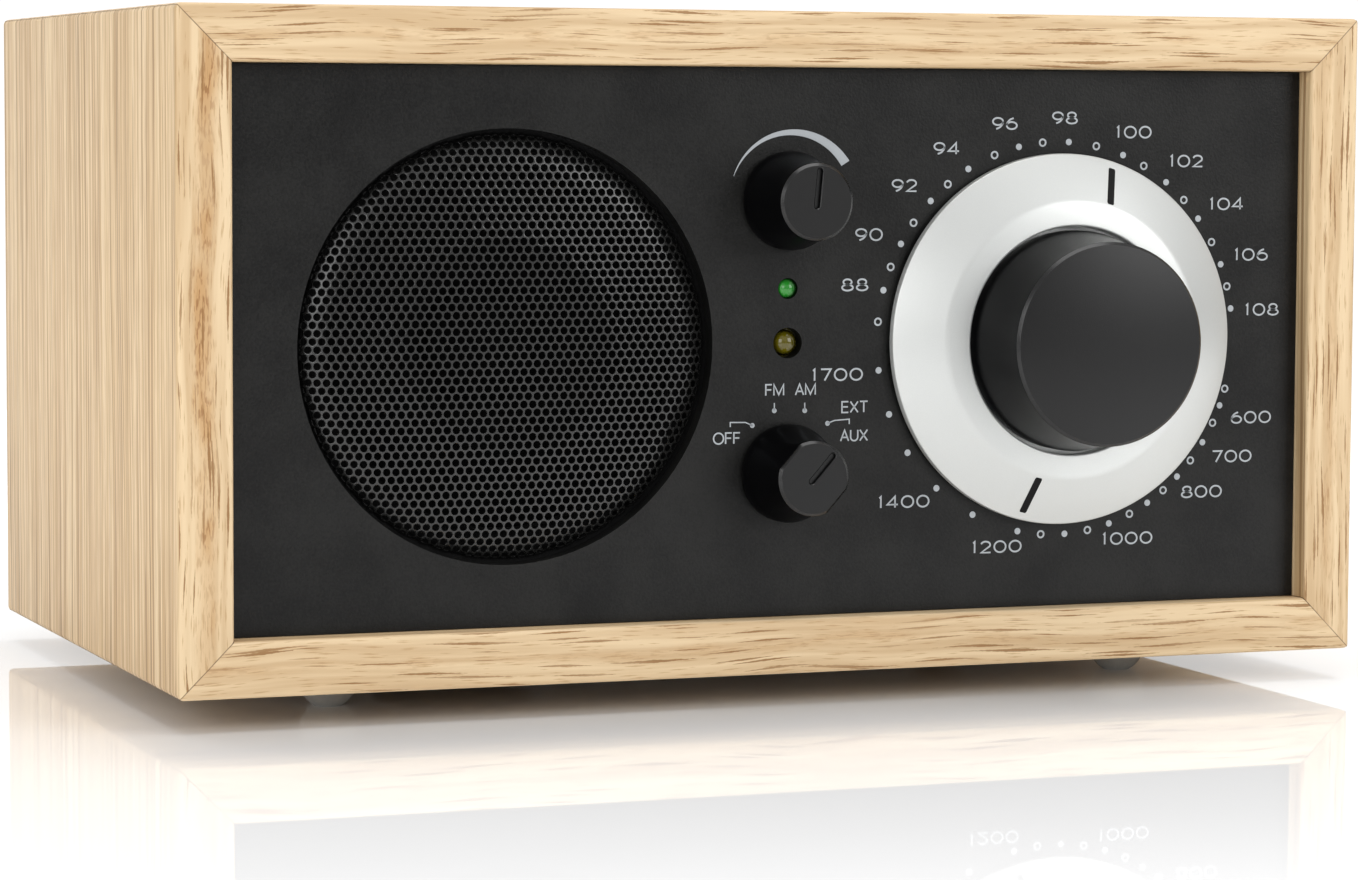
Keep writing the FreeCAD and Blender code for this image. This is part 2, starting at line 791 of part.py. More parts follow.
def speaker_screws():
    """Four screws whose heads clamp the rims of the basket and the grille to the panel."""
    group("speaker_screws", [
        screw(f"speaker_screw_{k}", x, z, SCREW_TIP, BASKET_FLANGE_BACK)
        for k, (x, z) in enumerate(SPEAKER_SCREWS)])


# ---------------------------------------------------------------- tuning

MODULE = size("gear_module")
PLANET_ORBIT = MODULE * (size("sun_teeth") + size("planet_teeth")) / 2
PLANET_ANGLES = (90, 210, 330)
CARRIER_RADIUS = PLANET_ORBIT + size("carrier_margin")
HOUSING_WALL = 1.5
GEAR_GAP = 0.3
HOUSING_FLOOR = PANEL_BACK + HOUSING_WALL
CARRIER_FRONT = HOUSING_FLOOR + 0.4
CARRIER_BACK = CARRIER_FRONT + size("carrier_plate")
GEAR_FRONT = CARRIER_BACK + GEAR_GAP
GEAR_BACK = GEAR_FRONT + size("gear_width")
COUPLING_FRONT = GEAR_BACK + GEAR_GAP
COUPLING_BACK = COUPLING_FRONT + size("carrier_plate")
HOUSING_BACK = COUPLING_BACK + HOUSING_WALL
DIAL_WEB_FRONT = PANEL_FRONT - 4.2
DIAL_WEB_BACK = PANEL_FRONT - 2.7
KNOB_BACK = DIAL_WEB_FRONT - 0.6
SHAFT_END = PANEL_FRONT - size("shaft_stand_off")
PRESSURE_ANGLE = math.radians(25)
ADDENDUM = 0.8
DEDENDUM = 1.1
BACKLASH = 0.16


def involute_point(base, roll, mirror, turn):
    """A point of the base circle's involute, mirrored for the other flank, then turned."""
    x = base * (math.cos(roll) + roll * math.sin(roll))
    y = mirror * base * (math.sin(roll) - roll * math.cos(roll))
    return FreeCAD.Vector(x * math.cos(turn) - y * math.sin(turn), 0,
                          x * math.sin(turn) + y * math.cos(turn))


def tooth_wire(teeth, module, root, tip, thicker, first_angle):
    """A closed ring of involute teeth in the XZ plane, from the root circle to the tip circle."""
    pitch = module * teeth / 2
    base = pitch * math.cos(PRESSURE_ANGLE)
    involute_angle = math.tan(PRESSURE_ANGLE) - PRESSURE_ANGLE
    half_tooth = (math.pi * module / 2 + thicker) / (2 * pitch) + involute_angle
    low_radius = max(root, base * 1.0005)
    rolls = [math.sqrt((low_radius / base) ** 2 - 1)]
    top_roll = math.sqrt((tip / base) ** 2 - 1)
    rolls = [rolls[0] + (top_roll - rolls[0]) * k / 4 for k in range(5)]
    edges = []
    previous = None
    first = None
    for k in range(teeth):
        centre = math.radians(first_angle) + 2 * math.pi * k / teeth
        rising = [involute_point(base, r, 1, centre - half_tooth) for r in rolls]
        falling = [involute_point(base, r, -1, centre + half_tooth) for r in reversed(rolls)]
        foot_in = point_at(root, rising[0])
        foot_out = point_at(root, falling[-1])
        if previous is not None:
            edges.append(circle_arc(root, previous, foot_in))
        else:
            first = foot_in
        edges += straight(foot_in, rising[0])
        edges.append(smooth(rising))
        edges.append(circle_arc(tip, rising[-1], falling[0]))
        edges.append(smooth(falling))
        edges += straight(falling[-1], foot_out)
        previous = foot_out
    edges.append(circle_arc(root, previous, first))
    return Part.Wire(edges)


def point_at(radius, towards):
    return FreeCAD.Vector(towards) * (radius / towards.Length)


def straight(start, end):
    return [] if (end - start).Length < 1e-4 else [Part.makeLine(start, end)]


def smooth(points):
    curve = Part.BSplineCurve()
    curve.interpolate(points)
    return curve.toShape()


def circle_arc(radius, start, end):
    middle = point_at(radius, start + end)
    return Part.Arc(start, middle, end).toShape()


def gear_blank(teeth, tip_part, root_part, thicker, first_angle):
    """A toothed disc as wide as the gear train."""
    module = MODULE.value
    pitch = module * teeth / 2
    wire = tooth_wire(teeth, module, pitch - root_part * module, pitch + tip_part * module,
                      thicker, first_angle)
    disc = Part.Face(wire).extrude(FreeCAD.Vector(0, GEAR_BACK.value - GEAR_FRONT.value, 0))
    disc.translate(FreeCAD.Vector(0, GEAR_FRONT.value, 0))
    return disc


def bored(shape, radius):
    tool = Part.makeCylinder(radius, GEAR_BACK.value - GEAR_FRONT.value + 2 * PAST,
                             FreeCAD.Vector(0, GEAR_FRONT.value - PAST, 0),
                             FreeCAD.Vector(0, 1, 0))
    return shape.cut(tool)


def toothed_piece(label, shape, x, z):
    """Tooth flanks are involutes, so a geared piece is a plain shape feature."""
    feature = doc.addObject("Part::Feature", label)
    feature.Shape = shape
    place(feature, x=x, z=z)
    return keep(feature, label)


def planet_gears():
    for name, angle in zip("abc", PLANET_ANGLES):
        disc = gear_blank(DRIVING["planet_teeth"], ADDENDUM, DEDENDUM, -BACKLASH,
                          angle + 180 / DRIVING["planet_teeth"])
        disc = bored(disc, DRIVING["pin_radius"] + DRIVING["running_fit"])
        turn = math.radians(angle)
        toothed_piece(f"planet_gear_{name}", disc, size("dial_x") + PLANET_ORBIT * math.cos(turn),
                      AXIS_Z + PLANET_ORBIT * math.sin(turn))


def pinion_shaft():
    """The knob's shaft, with the sun pinion cut on its inner end."""
    front = SHAFT_END.value
    shaft = Part.makeCylinder(DRIVING["shaft_radius"], GEAR_BACK.value - front,
                              FreeCAD.Vector(0, front, 0), FreeCAD.Vector(0, 1, 0))
    pinion = gear_blank(DRIVING["sun_teeth"], ADDENDUM, DEDENDUM, -BACKLASH, PLANET_ANGLES[0])
    toothed_piece("pinion_shaft", shaft.fuse(pinion), size("dial_x"), AXIS_Z)


def ring_gear_housing():
    """A cup behind the panel: threaded bushing, floor, wall and the fixed inner teeth."""
    module = MODULE.value
    teeth = DRIVING["ring_teeth"]
    pitch = module * teeth / 2
    wall = pitch + (DEDENDUM + 2.0) * module
    axis = FreeCAD.Vector(0, 1, 0)
    flange_front = PANEL_BACK.value
    cup = Part.makeCylinder(wall, HOUSING_BACK.value - flange_front,
                            FreeCAD.Vector(0, flange_front, 0), axis)
    space = wall - 1.2
    hollow = Part.makeCylinder(space, HOUSING_BACK.value - HOUSING_FLOOR.value + 1,
                               FreeCAD.Vector(0, HOUSING_FLOOR.value, 0), axis)
    cup = cup.cut(hollow)
    thread_showing = 0.3
    bushing_front = NUT_FRONT.value - thread_showing
    bushing = Part.makeCylinder(DRIVING["bushing_radius"], flange_front - bushing_front + JOIN,
                                FreeCAD.Vector(0, bushing_front, 0), axis)
    band = Part.makeCylinder(space + JOIN, GEAR_BACK.value - GEAR_FRONT.value,
                             FreeCAD.Vector(0, GEAR_FRONT.value, 0), axis)
    inner = gear_blank(teeth, DEDENDUM, ADDENDUM, BACKLASH, PLANET_ANGLES[0] + 180 / teeth)
    teeth_ring = band.cut(inner)
    housing = cup.fuse([bushing, teeth_ring])
    bore = Part.makeCylinder(DRIVING["sleeve_radius"] + DRIVING["running_fit"],
                             HOUSING_FLOOR.value - bushing_front + 2 * PAST,
                             FreeCAD.Vector(0, bushing_front - PAST, 0), axis)
    toothed_piece("ring_gear_housing", housing.cut(bore), size("dial_x"), AXIS_Z)


def planet_carrier():
    """The sleeve that carries the dial, with a plate and three pins for the planets."""
    body = new_body("planet_carrier")
    bore = size("shaft_radius") + size("running_fit")
    sleeve = size("sleeve_radius")
    plate = CARRIER_RADIUS
    sleeve_front = DIAL_WEB_FRONT - 1
    sketch = new_sketch(body, "XY_Plane")
    outline(sketch, [(bore, sleeve_front), (sleeve, sleeve_front), (sleeve, CARRIER_FRONT),
                     (plate, CARRIER_FRONT), (plate, CARRIER_BACK), (bore, CARRIER_BACK)])
    revolve(body, sketch)
    pins = new_sketch(body, "XZ_Plane", -COUPLING_BACK)
    for angle in PLANET_ANGLES:
        turn = math.radians(angle)
        circle(pins, PLANET_ORBIT * math.cos(turn), PLANET_ORBIT * math.sin(turn),
               size("pin_radius"))
    pad(body, pins, COUPLING_BACK - CARRIER_BACK + JOIN)
    place(body, x=size("dial_x"), z=AXIS_Z)
    keep(body, "planet_carrier")


def tuning_dial():
    """The dished pointer ring on the carrier's sleeve."""
    hub = size("sleeve_radius")
    rim = PANEL_FRONT - size("dial_rim_stand_off")
    crease = PANEL_FRONT - size("dial_crease_stand_off")
    lip = PANEL_FRONT - size("dial_inner_stand_off")
    inner = size("dial_inner_radius")
    outer = size("dial_radius")
    panel_gap, rim_wall, ring_wall = 0.7, 1.4, 2.0
    back = PANEL_FRONT - panel_gap
    turned("tuning_dial", size("dial_x"), AXIS_Z, [
        (hub, DIAL_WEB_FRONT), (inner, DIAL_WEB_FRONT), (inner, lip),
        (size("dial_crease_radius"), crease), (outer, rim), (outer, back),
        (outer - rim_wall, back), (inner + ring_wall, DIAL_WEB_BACK), (hub, DIAL_WEB_BACK)])


def tuning_knob():
    """A deep round knob with a slightly flared side, hollow at the back round its boss."""
    base = size("knob_base_radius")
    front = size("knob_front_radius")
    face = PANEL_FRONT - size("knob_stand_off")
    bore = size("shaft_radius") + FIXED_EASE
    chamfer, chamfer_depth = 0.45, 0.6
    skirt_front, flare = PANEL_FRONT - 7.6, 75
    inside, skirt_inner, side_inner = face + 3, base - 2, front - 2.4
    boss, boss_back = 6.2, KNOB_BACK - 1
    turned("tuning_knob", size("dial_x"), AXIS_Z, [
        (0, face), (front - chamfer, face), (front, face + chamfer_depth),
        (base, skirt_front, -flare), (base, KNOB_BACK), (skirt_inner, KNOB_BACK),
        (side_inner, inside), (boss, inside), (boss, boss_back), (bore, boss_back),
        (bore, SHAFT_END), (0, SHAFT_END)])


def capacitor_rotor():
    """Coupling plate on the carrier's pins, the shaft behind it and its half-round vanes."""
    body = new_body("capacitor_rotor")
    axle = size("shaft_radius")
    plate = CARRIER_RADIUS
    sketch = new_sketch(body, "XY_Plane")
    outline(sketch, [(0, COUPLING_FRONT), (plate, COUPLING_FRONT), (plate, COUPLING_BACK),
                     (axle, COUPLING_BACK), (axle, FRAME_BACK), (0, FRAME_BACK)])
    revolve(body, sketch)
    holes = new_sketch(body, "XZ_Plane", -(COUPLING_BACK + PAST))
    for angle in PLANET_ANGLES:
        turn = math.radians(angle)
        circle(holes, PLANET_ORBIT * math.cos(turn), PLANET_ORBIT * math.sin(turn),
               size("pin_radius") + FIXED_EASE)
    pocket(body, holes, size("carrier_plate") + 1.5 * PAST, reverse=True)
    reach = size("capacitor_plate_radius")
    waist, waist_depth = 4.5, 1.5
    for k in range(VANES):
        near = FIRST_VANE + size("capacitor_pitch") * k
        vane = new_sketch(body, "XZ_Plane", -(near + size("capacitor_plate")))
        outline(vane, [(-reach, 0), (-reach * SQRT_HALF, -reach * SQRT_HALF, reach),
                       (reach * SQRT_HALF, -reach * SQRT_HALF, reach), (reach, 0, reach),
                       (waist, waist_depth), (-waist, waist_depth)])
        pad(body, vane, size("capacitor_plate"))
    place(body, x=size("dial_x"), z=AXIS_Z)
    keep(body, "capacitor_rotor")


FRAME_HALF = size("capacitor_frame_half")
FRAME_WALL = size("capacitor_frame_wall")
STATOR_HALF = size("stator_half")
VANES = 6
STRAP_HALF = 9
FRAME_FRONT = HOUSING_BACK
FIRST_VANE = FRAME_FRONT + FRAME_WALL + 2.4
FRAME_END = FIRST_VANE + size("capacitor_pitch") * VANES + 1.6
FRAME_BACK = FRAME_END + FRAME_WALL


def capacitor_frame():
    """Two end plates joined by side straps, open above and below."""
    body = new_body("capacitor_frame")
    bore = size("shaft_radius") + size("running_fit")

    def end_plate(sketch):
        rectangle(sketch, -FRAME_HALF, -FRAME_HALF, FRAME_HALF, FRAME_HALF)
        circle(sketch, 0, 0, bore)

    def straps(sketch):
        inside = FRAME_HALF - FRAME_WALL
        rectangle(sketch, -FRAME_HALF, -STRAP_HALF, -inside, STRAP_HALF)
        rectangle(sketch, inside, -STRAP_HALF, FRAME_HALF, STRAP_HALF)
    between_y(body, FRAME_FRONT, FRAME_FRONT + FRAME_WALL, end_plate)
    between_y(body, FRAME_FRONT + FRAME_WALL - JOIN, FRAME_END + JOIN, straps)
    between_y(body, FRAME_END, FRAME_BACK, end_plate)
    place(body, x=size("dial_x"), z=AXIS_Z)
    keep(body, "capacitor_frame")


def capacitor_stator():
    """Fixed vanes between the moving ones, joined by an insulated bar to each strap."""
    body = new_body("capacitor_stator")
    near = FIRST_VANE - size("capacitor_pitch") / 2
    top, axle_gap, axle_curve = -0.6, 4.6, 4.8
    bar_low, bar_high = -7, -2

    def vane(sketch):
        outline(sketch, [(-STATOR_HALF, -STATOR_HALF), (STATOR_HALF, -STATOR_HALF),
                         (STATOR_HALF, top), (axle_gap, top), (-axle_gap, top, -axle_curve),
                         (-STATOR_HALF, top)])

    def bars(sketch):
        inside = STATOR_HALF - JOIN
        outside = FRAME_HALF - FRAME_WALL
        rectangle(sketch, -outside, bar_low, -inside, bar_high)
        rectangle(sketch, inside, bar_low, outside, bar_high)
    for k in range(VANES + 1):
        level = near + size("capacitor_pitch") * k
        between_y(body, level, level + size("capacitor_plate"), vane)
    last = near + size("capacitor_pitch") * VANES + size("capacitor_plate")
    between_y(body, near, last, bars)
    place(body, x=size("dial_x"), z=AXIS_Z)
    keep(body, "capacitor_stator")


# ---------------------------------------------------------------- volume and selector

KNOB_SKIRT = 1.2
ROTOR_PLATE = 1.2
SHAFT_GRIP = 2.6


def control_knob(label, z, front_radius, stand_off, turn, flats):
    """A small flared knob with a slot as its pointer and, where flats is true, two flats."""
    body = new_body(label)
    base = size("control_base_radius")
    face = PANEL_FRONT - stand_off
    back = PANEL_FRONT - 0.5
    skirt_front = back - KNOB_SKIRT
    bore = size("shaft_radius") + FIXED_EASE
    shaft_end = face + 2.5
    chamfer, chamfer_depth, flare = 0.4, 0.5, 32
    nut_space, nut_space_front = 6.4, back - 3
    sketch = new_sketch(body, "XY_Plane")
    outline(sketch, [
        (0, face), (front_radius - chamfer, face), (front_radius, face + chamfer_depth),
        (base, skirt_front, -flare), (base, back), (nut_space, back),
        (nut_space, nut_space_front), (bore, nut_space_front), (bore, shaft_end),
        (0, shaft_end)])
    revolve(body, sketch)
    if flats:
        cut_flats(body, face, skirt_front)
    groove = new_sketch(body, "XZ_Plane", -face)
    groove_start, groove_end, groove_half, groove_depth = -0.6, front_radius - 1.35, 0.5, 0.7
    stadium(groove, 0, groove_start, groove_end, groove_half)
    pocket(body, groove, groove_depth)
    place(body, z=z, turn=turn)
    keep(body, label)


def cut_flats(body, face, skirt_front):
    """Two sloping flats that run out at the round base."""
    sketch = new_sketch(body, "XY_Plane")
    reach = 5.5
    start = face - 0.5
    base = size("control_base_radius")
    outside = base + 2 * PAST
    for side in (-1, 1):
        outline(sketch, [(side * reach, start), (side * base, skirt_front),
                         (side * outside, skirt_front), (side * outside, start)])
    pocket(body, sketch, 4 * base, both_ways=True)


def control_shaft(label, z, stand_off, inner_end, rotor_radius):
    """A plain shaft with a rotor disc on its inner end."""
    axle = size("shaft_radius")
    face = PANEL_FRONT - stand_off + SHAFT_GRIP
    rotor_front = inner_end - ROTOR_PLATE
    turned(label, 0, z, [(0, face), (axle, face), (axle, rotor_front),
                         (rotor_radius, rotor_front), (rotor_radius, inner_end),
                         (0, inner_end)])


def control_case(label, z, case_radius, inner_end, rotor_radius, lugs):
    """Threaded bushing, round case hollow inside and a row of solder lugs."""
    body = new_body(label)
    bore = size("shaft_radius") + size("running_fit")
    thread_showing, case_wall, rotor_gap = 0.4, 1.2, 1.0
    bushing_front = NUT_FRONT - thread_showing
    hollow_front = inner_end - ROTOR_PLATE - rotor_gap
    hollow_back = inner_end + ROTOR_PLATE
    hollow_radius = rotor_radius + rotor_gap
    back = hollow_back + case_wall
    sketch = new_sketch(body, "XY_Plane")
    outline(sketch, [
        (bore, bushing_front), (CONTROL_BUSHING, bushing_front), (CONTROL_BUSHING, PANEL_BACK),
        (case_radius, PANEL_BACK), (case_radius, back), (0, back), (0, hollow_back),
        (hollow_radius, hollow_back), (hollow_radius, hollow_front), (bore, hollow_front)])
    revolve(body, sketch)
    lug_pitch, lug_half, lug_reach, lug_root, lug_plate = 4.0, 0.9, 3.5, 4.5, 0.6

    def lug_row(sketch):
        for k in range(lugs):
            offset = (k - (lugs - 1) / 2) * lug_pitch
            rectangle(sketch, offset - lug_half, -case_radius - lug_reach,
                      offset + lug_half, -case_radius + lug_root)
    between_y(body, back - lug_plate, back, lug_row)
    place(body, z=z)
    keep(body, label)


def volume_and_selector():
    volume_end, volume_rotor, volume_case = PANEL_BACK + 6.6, 6.0, 8.5
    selector_end, selector_rotor, selector_case = PANEL_BACK + 8.6, 9.0, 11.5
    control_knob("volume_knob", VOLUME_Z, size("volume_front_radius"),
                 size("volume_stand_off"), size("volume_turn"), False)
    control_shaft("volume_shaft", VOLUME_Z, size("volume_stand_off"), volume_end, volume_rotor)
    control_case("volume_control", VOLUME_Z, volume_case, volume_end, volume_rotor, lugs=3)
    control_knob("selector_knob", SELECTOR_Z, size("selector_front_radius"),
                 size("selector_stand_off"), size("selector_turn"), True)
    control_shaft("selector_shaft", SELECTOR_Z, size("selector_stand_off"), selector_end,
                  selector_rotor)
    control_case("selector_switch", SELECTOR_Z, selector_case, selector_end, selector_rotor,
                 lugs=5)


def control_nuts():
    """The three hexagon nuts that hold the controls to the panel."""
    body = new_body("control_nuts")

    def draw(sketch):
        for z in (VOLUME_Z, SELECTOR_Z):
            hexagon(sketch, 0, z, size("control_nut_flats"))
            circle(sketch, 0, z, CONTROL_BUSHING + FIXED_EASE)
        hexagon(sketch, size("dial_x"), AXIS_Z, size("tuning_nut_flats"))
        circle(sketch, size("dial_x"), AXIS_Z, size("bushing_radius") + FIXED_EASE)
    between_y(body, NUT_FRONT, PANEL_FRONT, draw)
    keep(body, "control_nuts")


def lamp(label, height, radius, bead):
    """A round-nosed lamp with a collar behind the panel and two leads."""
    z = CABINET_BOTTOM + size(height)
    radius = size(radius)
    nose = PANEL_FRONT - bead
    collar, collar_back = radius + 0.6, PANEL_BACK + 1
    body = new_body(label)
    sketch = new_sketch(body, "XY_Plane")
    outline(sketch, [(0, nose), (radius, nose + radius, radius), (radius, PANEL_BACK),
                     (collar, PANEL_BACK), (collar, collar_back), (0, collar_back)])
    revolve(body, sketch)
    lead_offset, lead_half, lead_end = 1.0, 0.25, PANEL_BACK + 9

    def leads(sketch):
        for side in (-1, 1):
            rectangle(sketch, side * lead_offset - lead_half, -lead_half,
                      side * lead_offset + lead_half, lead_half)
    between_y(body, collar_back - JOIN, lead_end, leads)
    place(body, z=z)
    keep(body, label)


# ---------------------------------------------------------------- rear

REAR_SCREW_X = INNER_X - size("block_size") / 2
REAR_SCREW_LEVELS = (INNER_BOTTOM + size("block_size") / 2, INNER_TOP - size("block_size") / 2)
JACK_PLACES = (8.0, -7.0, -22.0, -37.0)
DC_JACK_X = -58.0
AERIAL_X = 58.0
SWITCH_X = 34.0
INLET_X = -72.0
SLOT_HALF_X = 3.2
SLOT_HALF_Z = 2.2
SWITCH_TRAVEL = 3.0
REAR_SCREW_TIP = REAR_INNER - 8.5
INLET_HALF_X = 11.0
INLET_HALF_Z = 7.0


def rear_blocks():
    """Four corner blocks that the back is screwed to."""
    pieces = []
    half = size("block_size") / 2
    hole_end = REAR_SCREW_TIP - 0.5
    for number, side in enumerate((-1, 1)):
        outer = side * INNER_X
        inner = outer - side * size("block_size")
        low_x, high_x = (outer, inner) if side < 0 else (inner, outer)
        for level, z in enumerate(REAR_SCREW_LEVELS):
            name = f"rear_block_{number}_{level}"
            solid = block(f"{name}_solid", low_x, high_x, REAR_INNER - size("block_size"),
                          REAR_INNER, z - half, z + half)
            hole = rod(f"{name}_hole", side * REAR_SCREW_X, hole_end, z,
                       SCREW_HOLE, REAR_INNER - hole_end + PAST, "Y")
            pieces.append(cut(name, solid, hole))
    group("rear_blocks", pieces)


def rear_panel():
    """The flat back, with holes for the sockets, the switch and the screws."""
    body = new_body("rear_panel")
    reach_x = INNER_X - size("panel_gap")

    def draw(sketch):
        rectangle(sketch, -reach_x, INNER_BOTTOM + size("panel_gap"), reach_x,
                  INNER_TOP - size("panel_gap"))
        for x in JACK_PLACES:
            circle(sketch, x, JACK_Z, size("jack_collar_radius") + PANEL_EASE)
        circle(sketch, DC_JACK_X, JACK_Z, size("dc_collar_radius") + PANEL_EASE)
        circle(sketch, AERIAL_X, JACK_Z, size("aerial_collar_radius") + PANEL_EASE)
        rectangle(sketch, SWITCH_X - SLOT_HALF_X, JACK_Z - SLOT_HALF_Z,
                  SWITCH_X + SLOT_HALF_X, JACK_Z + SLOT_HALF_Z)
        inlet_x, inlet_z = INLET_HALF_X + PANEL_EASE, INLET_HALF_Z + PANEL_EASE
        rectangle(sketch, INLET_X - inlet_x, INLET_Z - inlet_z,
                  INLET_X + inlet_x, INLET_Z + inlet_z)
        for side in (-1, 1):
            for z in REAR_SCREW_LEVELS:
                circle(sketch, side * REAR_SCREW_X, z, size("screw_radius") + PANEL_EASE)
    between_y(body, REAR_INNER, REAR_OUTER, draw)
    keep(body, "rear_panel")


def rear_panel_screws():
    pieces = []
    for side in (-1, 1):
        for level, z in enumerate(REAR_SCREW_LEVELS):
            pieces.append(screw(f"rear_screw_{side}_{level}", side * REAR_SCREW_X, z,
                                REAR_SCREW_TIP, REAR_OUTER))
    group("rear_panel_screws", pieces)


def signal_jacks():
    """Four 3.5 mm sockets: a case inside the back and a bored collar through it."""
    pieces = []
    half, depth, bore_depth = 5, 12, 14
    mouth = REAR_OUTER + 0.6
    for number, x in enumerate(JACK_PLACES):
        body = new_body(f"jack_{number}")
        between_y(body, REAR_INNER - depth, REAR_INNER,
                  lambda sketch: rectangle(sketch, -half, -half, half, half))
        between_y(body, REAR_INNER - JOIN, mouth,
                  lambda sketch: circle(sketch, 0, 0, size("jack_collar_radius")))
        bore = new_sketch(body, "XZ_Plane", -mouth)
        circle(bore, 0, 0, size("jack_bore_radius"))
        pocket(body, bore, bore_depth, reverse=True)
        place(body, x=x, z=JACK_Z)
        pieces.append(body)
    group("signal_jacks", pieces)


def dc_jack():
    """A round low-voltage socket with its centre pin."""
    body = new_body("dc_jack")
    half, depth = 5.5, 11
    mouth = REAR_OUTER + 0.5
    between_y(body, REAR_INNER - depth, REAR_INNER,
              lambda sketch: rectangle(sketch, -half, -half, half, half))
    between_y(body, REAR_INNER - JOIN, mouth,
              lambda sketch: circle(sketch, 0, 0, size("dc_collar_radius")))
    bore = new_sketch(body, "XZ_Plane", -mouth)
    circle(bore, 0, 0, size("dc_bore_radius"))
    circle(bore, 0, 0, size("dc_pin_radius"))
    pocket(body, bore, depth, reverse=True)
    place(body, x=DC_JACK_X, z=JACK_Z)
    keep(body, "dc_jack")


def mains_inlet():
    """A two-pin mains inlet: a moulded box flanged on the back, with its pins."""
    body = new_body("mains_inlet")
    margin, flange_depth, depth, cavity_depth = 2.5, 1.5, 9, 12
    mouth = REAR_OUTER + flange_depth
    pin_x = size("mains_pin_spacing") / 2
    round_end = 4.6
    end = pin_x + round_end

    def shell(sketch):
        rectangle(sketch, -INLET_HALF_X, -INLET_HALF_Z, INLET_HALF_X, INLET_HALF_Z)

    def flange(sketch):
        half_x, half_z = INLET_HALF_X + margin, INLET_HALF_Z + margin
        rectangle(sketch, -half_x, -half_z, half_x, half_z)

    def pins(sketch):
        for side in (-1, 1):
            circle(sketch, side * pin_x, 0, size("mains_pin_radius"))
    between_y(body, REAR_INNER - depth, REAR_OUTER, shell)
    between_y(body, REAR_OUTER, mouth, flange)
    cavity = new_sketch(body, "XZ_Plane", -mouth)
    outline(cavity, [(-pin_x, -round_end, round_end), (pin_x, -round_end),
                     (end, 0, round_end), (pin_x, round_end, round_end),
                     (-pin_x, round_end), (-end, 0, round_end)])
    pocket(body, cavity, cavity_depth, reverse=True)
    between_y(body, REAR_INNER - depth + 1, REAR_OUTER - flange_depth, pins)
    place(body, x=INLET_X, z=INLET_Z)
    keep(body, "mains_inlet")


def antenna_connector():
    """A threaded coaxial aerial socket with a hexagon shoulder."""
    body = new_body("antenna_connector")
    half, depth, nut, nut_flats, bore_depth = 7, 6, 2, 13, 8
    mouth = REAR_OUTER + size("aerial_reach")
    between_y(body, REAR_INNER - depth, REAR_INNER,
              lambda sketch: rectangle(sketch, -half, -half, half, half))
    between_y(body, REAR_INNER - JOIN, REAR_OUTER + nut / 2,
              lambda sketch: circle(sketch, 0, 0, size("aerial_collar_radius")))
    between_y(body, REAR_OUTER, REAR_OUTER + nut,
              lambda sketch: hexagon(sketch, 0, 0, nut_flats))
    between_y(body, REAR_OUTER + nut - JOIN, mouth,
              lambda sketch: circle(sketch, 0, 0, size("aerial_thread_radius")))
    bore = new_sketch(body, "XZ_Plane", -mouth)
    circle(bore, 0, 0, size("aerial_bore_radius"))
    pocket(body, bore, bore_depth, reverse=True)
    place(body, x=AERIAL_X, z=JACK_Z)
    keep(body, "antenna_connector")


def antenna_switch():
    """A two-way slide switch: its case inside the back and the slider in the slot."""
    body = new_body("antenna_switch_body")
    depth, floor = 6.0, 1.2
    half_x, half_z = 9, 5
    hollow_x, hollow_z = 6.5, 3
    between_y(body, REAR_INNER - depth, REAR_INNER,
              lambda sketch: rectangle(sketch, -half_x, -half_z, half_x, half_z))
    hollow = new_sketch(body, "XZ_Plane", -REAR_INNER)
    rectangle(hollow, -hollow_x, -hollow_z, hollow_x, hollow_z)
    pocket(body, hollow, depth - floor, reverse=True)
    place(body, x=SWITCH_X, z=JACK_Z)
    keep(body, "antenna_switch_body")
    slider = new_body("antenna_switch_slider")
    shoe_x, shoe_z, shoe_depth, shoe_back = 3.2, 2.6, 4.0, REAR_INNER - 0.4
    key_x, key_z, key_reach = 1.4, 1.9, 1.6
    between_y(slider, shoe_back - shoe_depth, shoe_back,
              lambda sketch: rectangle(sketch, -shoe_x, -shoe_z, shoe_x, shoe_z))
    between_y(slider, shoe_back - JOIN, REAR_OUTER + key_reach,
              lambda sketch: rectangle(sketch, -key_x, -key_z, key_x, key_z))
    place(slider, x=SWITCH_X - SWITCH_TRAVEL / 2, z=JACK_Z)
    keep(slider, "antenna_switch_slider")


# ---------------------------------------------------------------- electronics

STANDOFF_PLACES = [(x, CENTRE_Y + y) for x in (-8.0, 84.0) for y in (-34.0, 42.0)]


def main_board():
    """The circuit board on four posts, with a hole over each."""
    body = new_body("main_board")
    margin = 6.0
    column, stud_radius, hole, cap_radius, cap_height = 3.0, 1.5, 1.6, 2.7, 1.8

    def draw(sketch):
        low_x, low_y = STANDOFF_PLACES[0]
        high_x, high_y = STANDOFF_PLACES[-1]
        rectangle(sketch, low_x - margin, low_y - margin, high_x + margin, high_y + margin)
        for x, y in STANDOFF_PLACES:
            circle(sketch, x, y, hole)
    between_z(body, BOARD_Z, BOARD_TOP_Z, draw)
    keep(body, "main_board")
    posts = []
    for number, (x, y) in enumerate(STANDOFF_PLACES):
        name = f"post_{number}"
        post = rod(f"{name}_column", x, y, INNER_BOTTOM, column, BOARD_Z - INNER_BOTTOM, "Z")
        stud = rod(f"{name}_stud", x, y, BOARD_Z - PAST, stud_radius,
                   size("main_board_thickness") + 2 * PAST, "Z")
        nut = rod(f"{name}_cap", x, y, BOARD_TOP_Z, cap_radius, cap_height, "Z")
        posts.append(fused(name, [post, stud, nut]))
    group("board_standoffs", posts)


